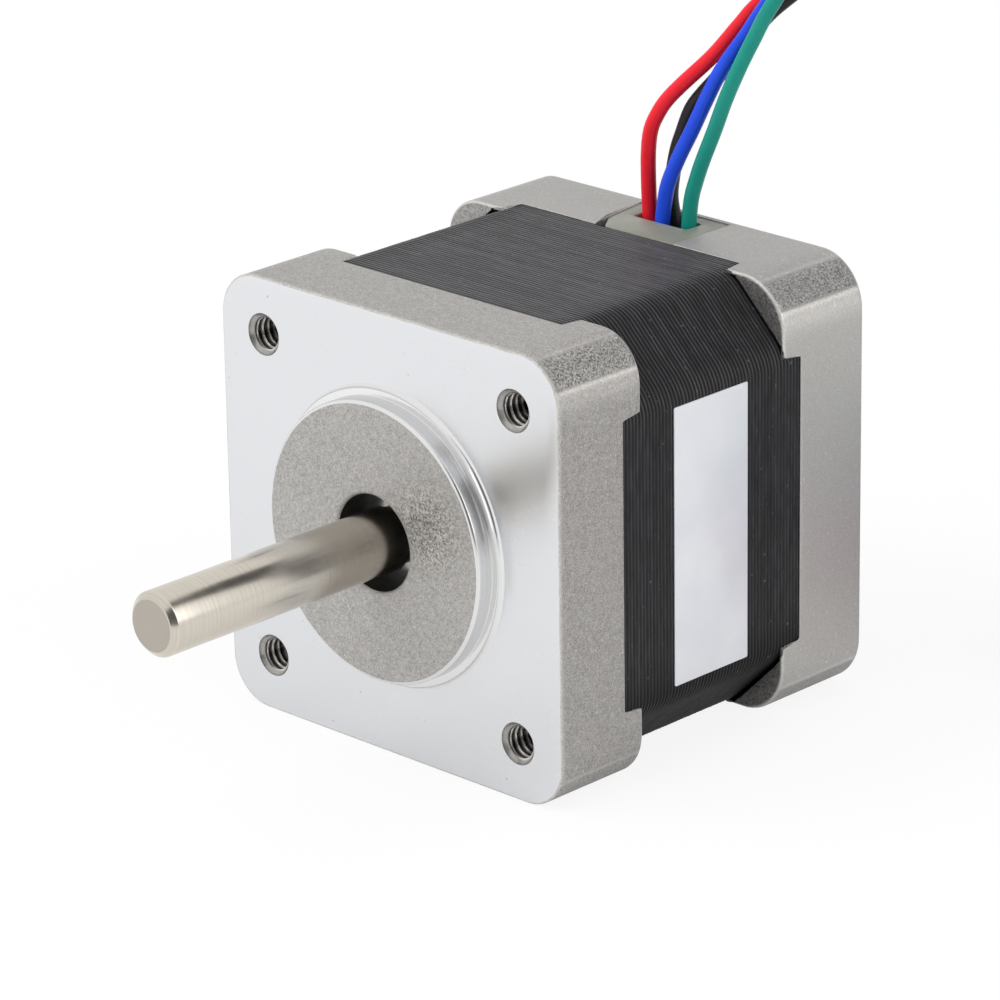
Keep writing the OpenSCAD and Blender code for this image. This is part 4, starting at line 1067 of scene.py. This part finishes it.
def facing_card(name, towards, distance, half_w, half_h, tone, shades=False):
    """A dark card at a distance in the given direction, square to it, for the metal to mirror. With
    shades it dims diffuse surfaces as well."""
    ahead = unit(np.asarray(towards, float))
    side = unit(np.cross(ahead, UP))
    top = np.cross(side, ahead)
    middle = distance * ahead
    corners = [middle + x * half_w * side + y * half_h * top for x, y in ((-1, -1), (1, -1), (1, 1), (-1, 1))]
    made = material(name, Base_Color=(tone, tone, tone), Roughness=0.9)
    piece = card(name, [tuple(float(v) for v in c) for c in corners], made)
    piece.visible_diffuse = shades
    return piece


def area_light(name, place, target, size, watts, mirrored=True):
    """A soft lamp turned to its target. Metal doesn't mirror it unless mirrored is true."""
    data = bpy.data.lights.new(name, "AREA")
    data.shape = "RECTANGLE"
    data.size, data.size_y = size
    data.energy = watts
    lamp = bpy.data.objects.new(name, data)
    lamp.location = place
    away = np.asarray(place, float) - np.asarray(target, float)
    lamp.rotation_euler = Vector(away).to_track_quat("Z", "Y").to_euler()
    lamp.visible_glossy = mirrored
    bpy.context.scene.collection.objects.link(lamp)


def make_studio():
    """Pale floor, white backdrop, dark cards for the metal to mirror, and two lamps."""
    z = (FLOOR_Z - FLOOR_GAP) * MM
    pale = seen_white("pale_floor", (0.9, 0.9, 0.9), 0.88, 0.3)
    card("studio_floor", [(-3, -3, z), (3, -3, z), (3, 3, z), (-3, 3, z)], pale)
    world = bpy.data.worlds.new("studio")
    world.use_nodes = True
    bpy.context.scene.world = world
    w = Wires(world.node_tree)
    seen = w.math("MAXIMUM", *w.rays())
    back = world.node_tree.nodes["Background"]
    back.inputs["Color"].default_value = (1, 1, 1, 1)
    world.node_tree.links.new(w.span(seen, 0.0, 1.0, 0.75, 1.0), back.inputs["Strength"])
    facing_card("dark_card_front", (0.655, -0.671, 0.348), 0.75, 0.30, 0.30, 0.12, shades=True)
    facing_card("dark_card_front_high", (0.39, -0.67, 0.63), 0.70, 0.05, 0.30, 0.03)
    facing_card("dark_card_back_high", (0.39, 0.67, 0.63), 0.70, 0.17, 0.32, 0.03)
    area_light("key_light", (-0.35, -0.63, 0.77), (0, 0.01, 0), (1.0, 1.0), 7.5, mirrored=False)
    area_light("side_light", (0.6, 0.1, 0.35), (0, 0.01, 0), (0.3, 0.5), 1.0)


make_studio()
bpy.context.scene.view_settings.view_transform = "Standard"
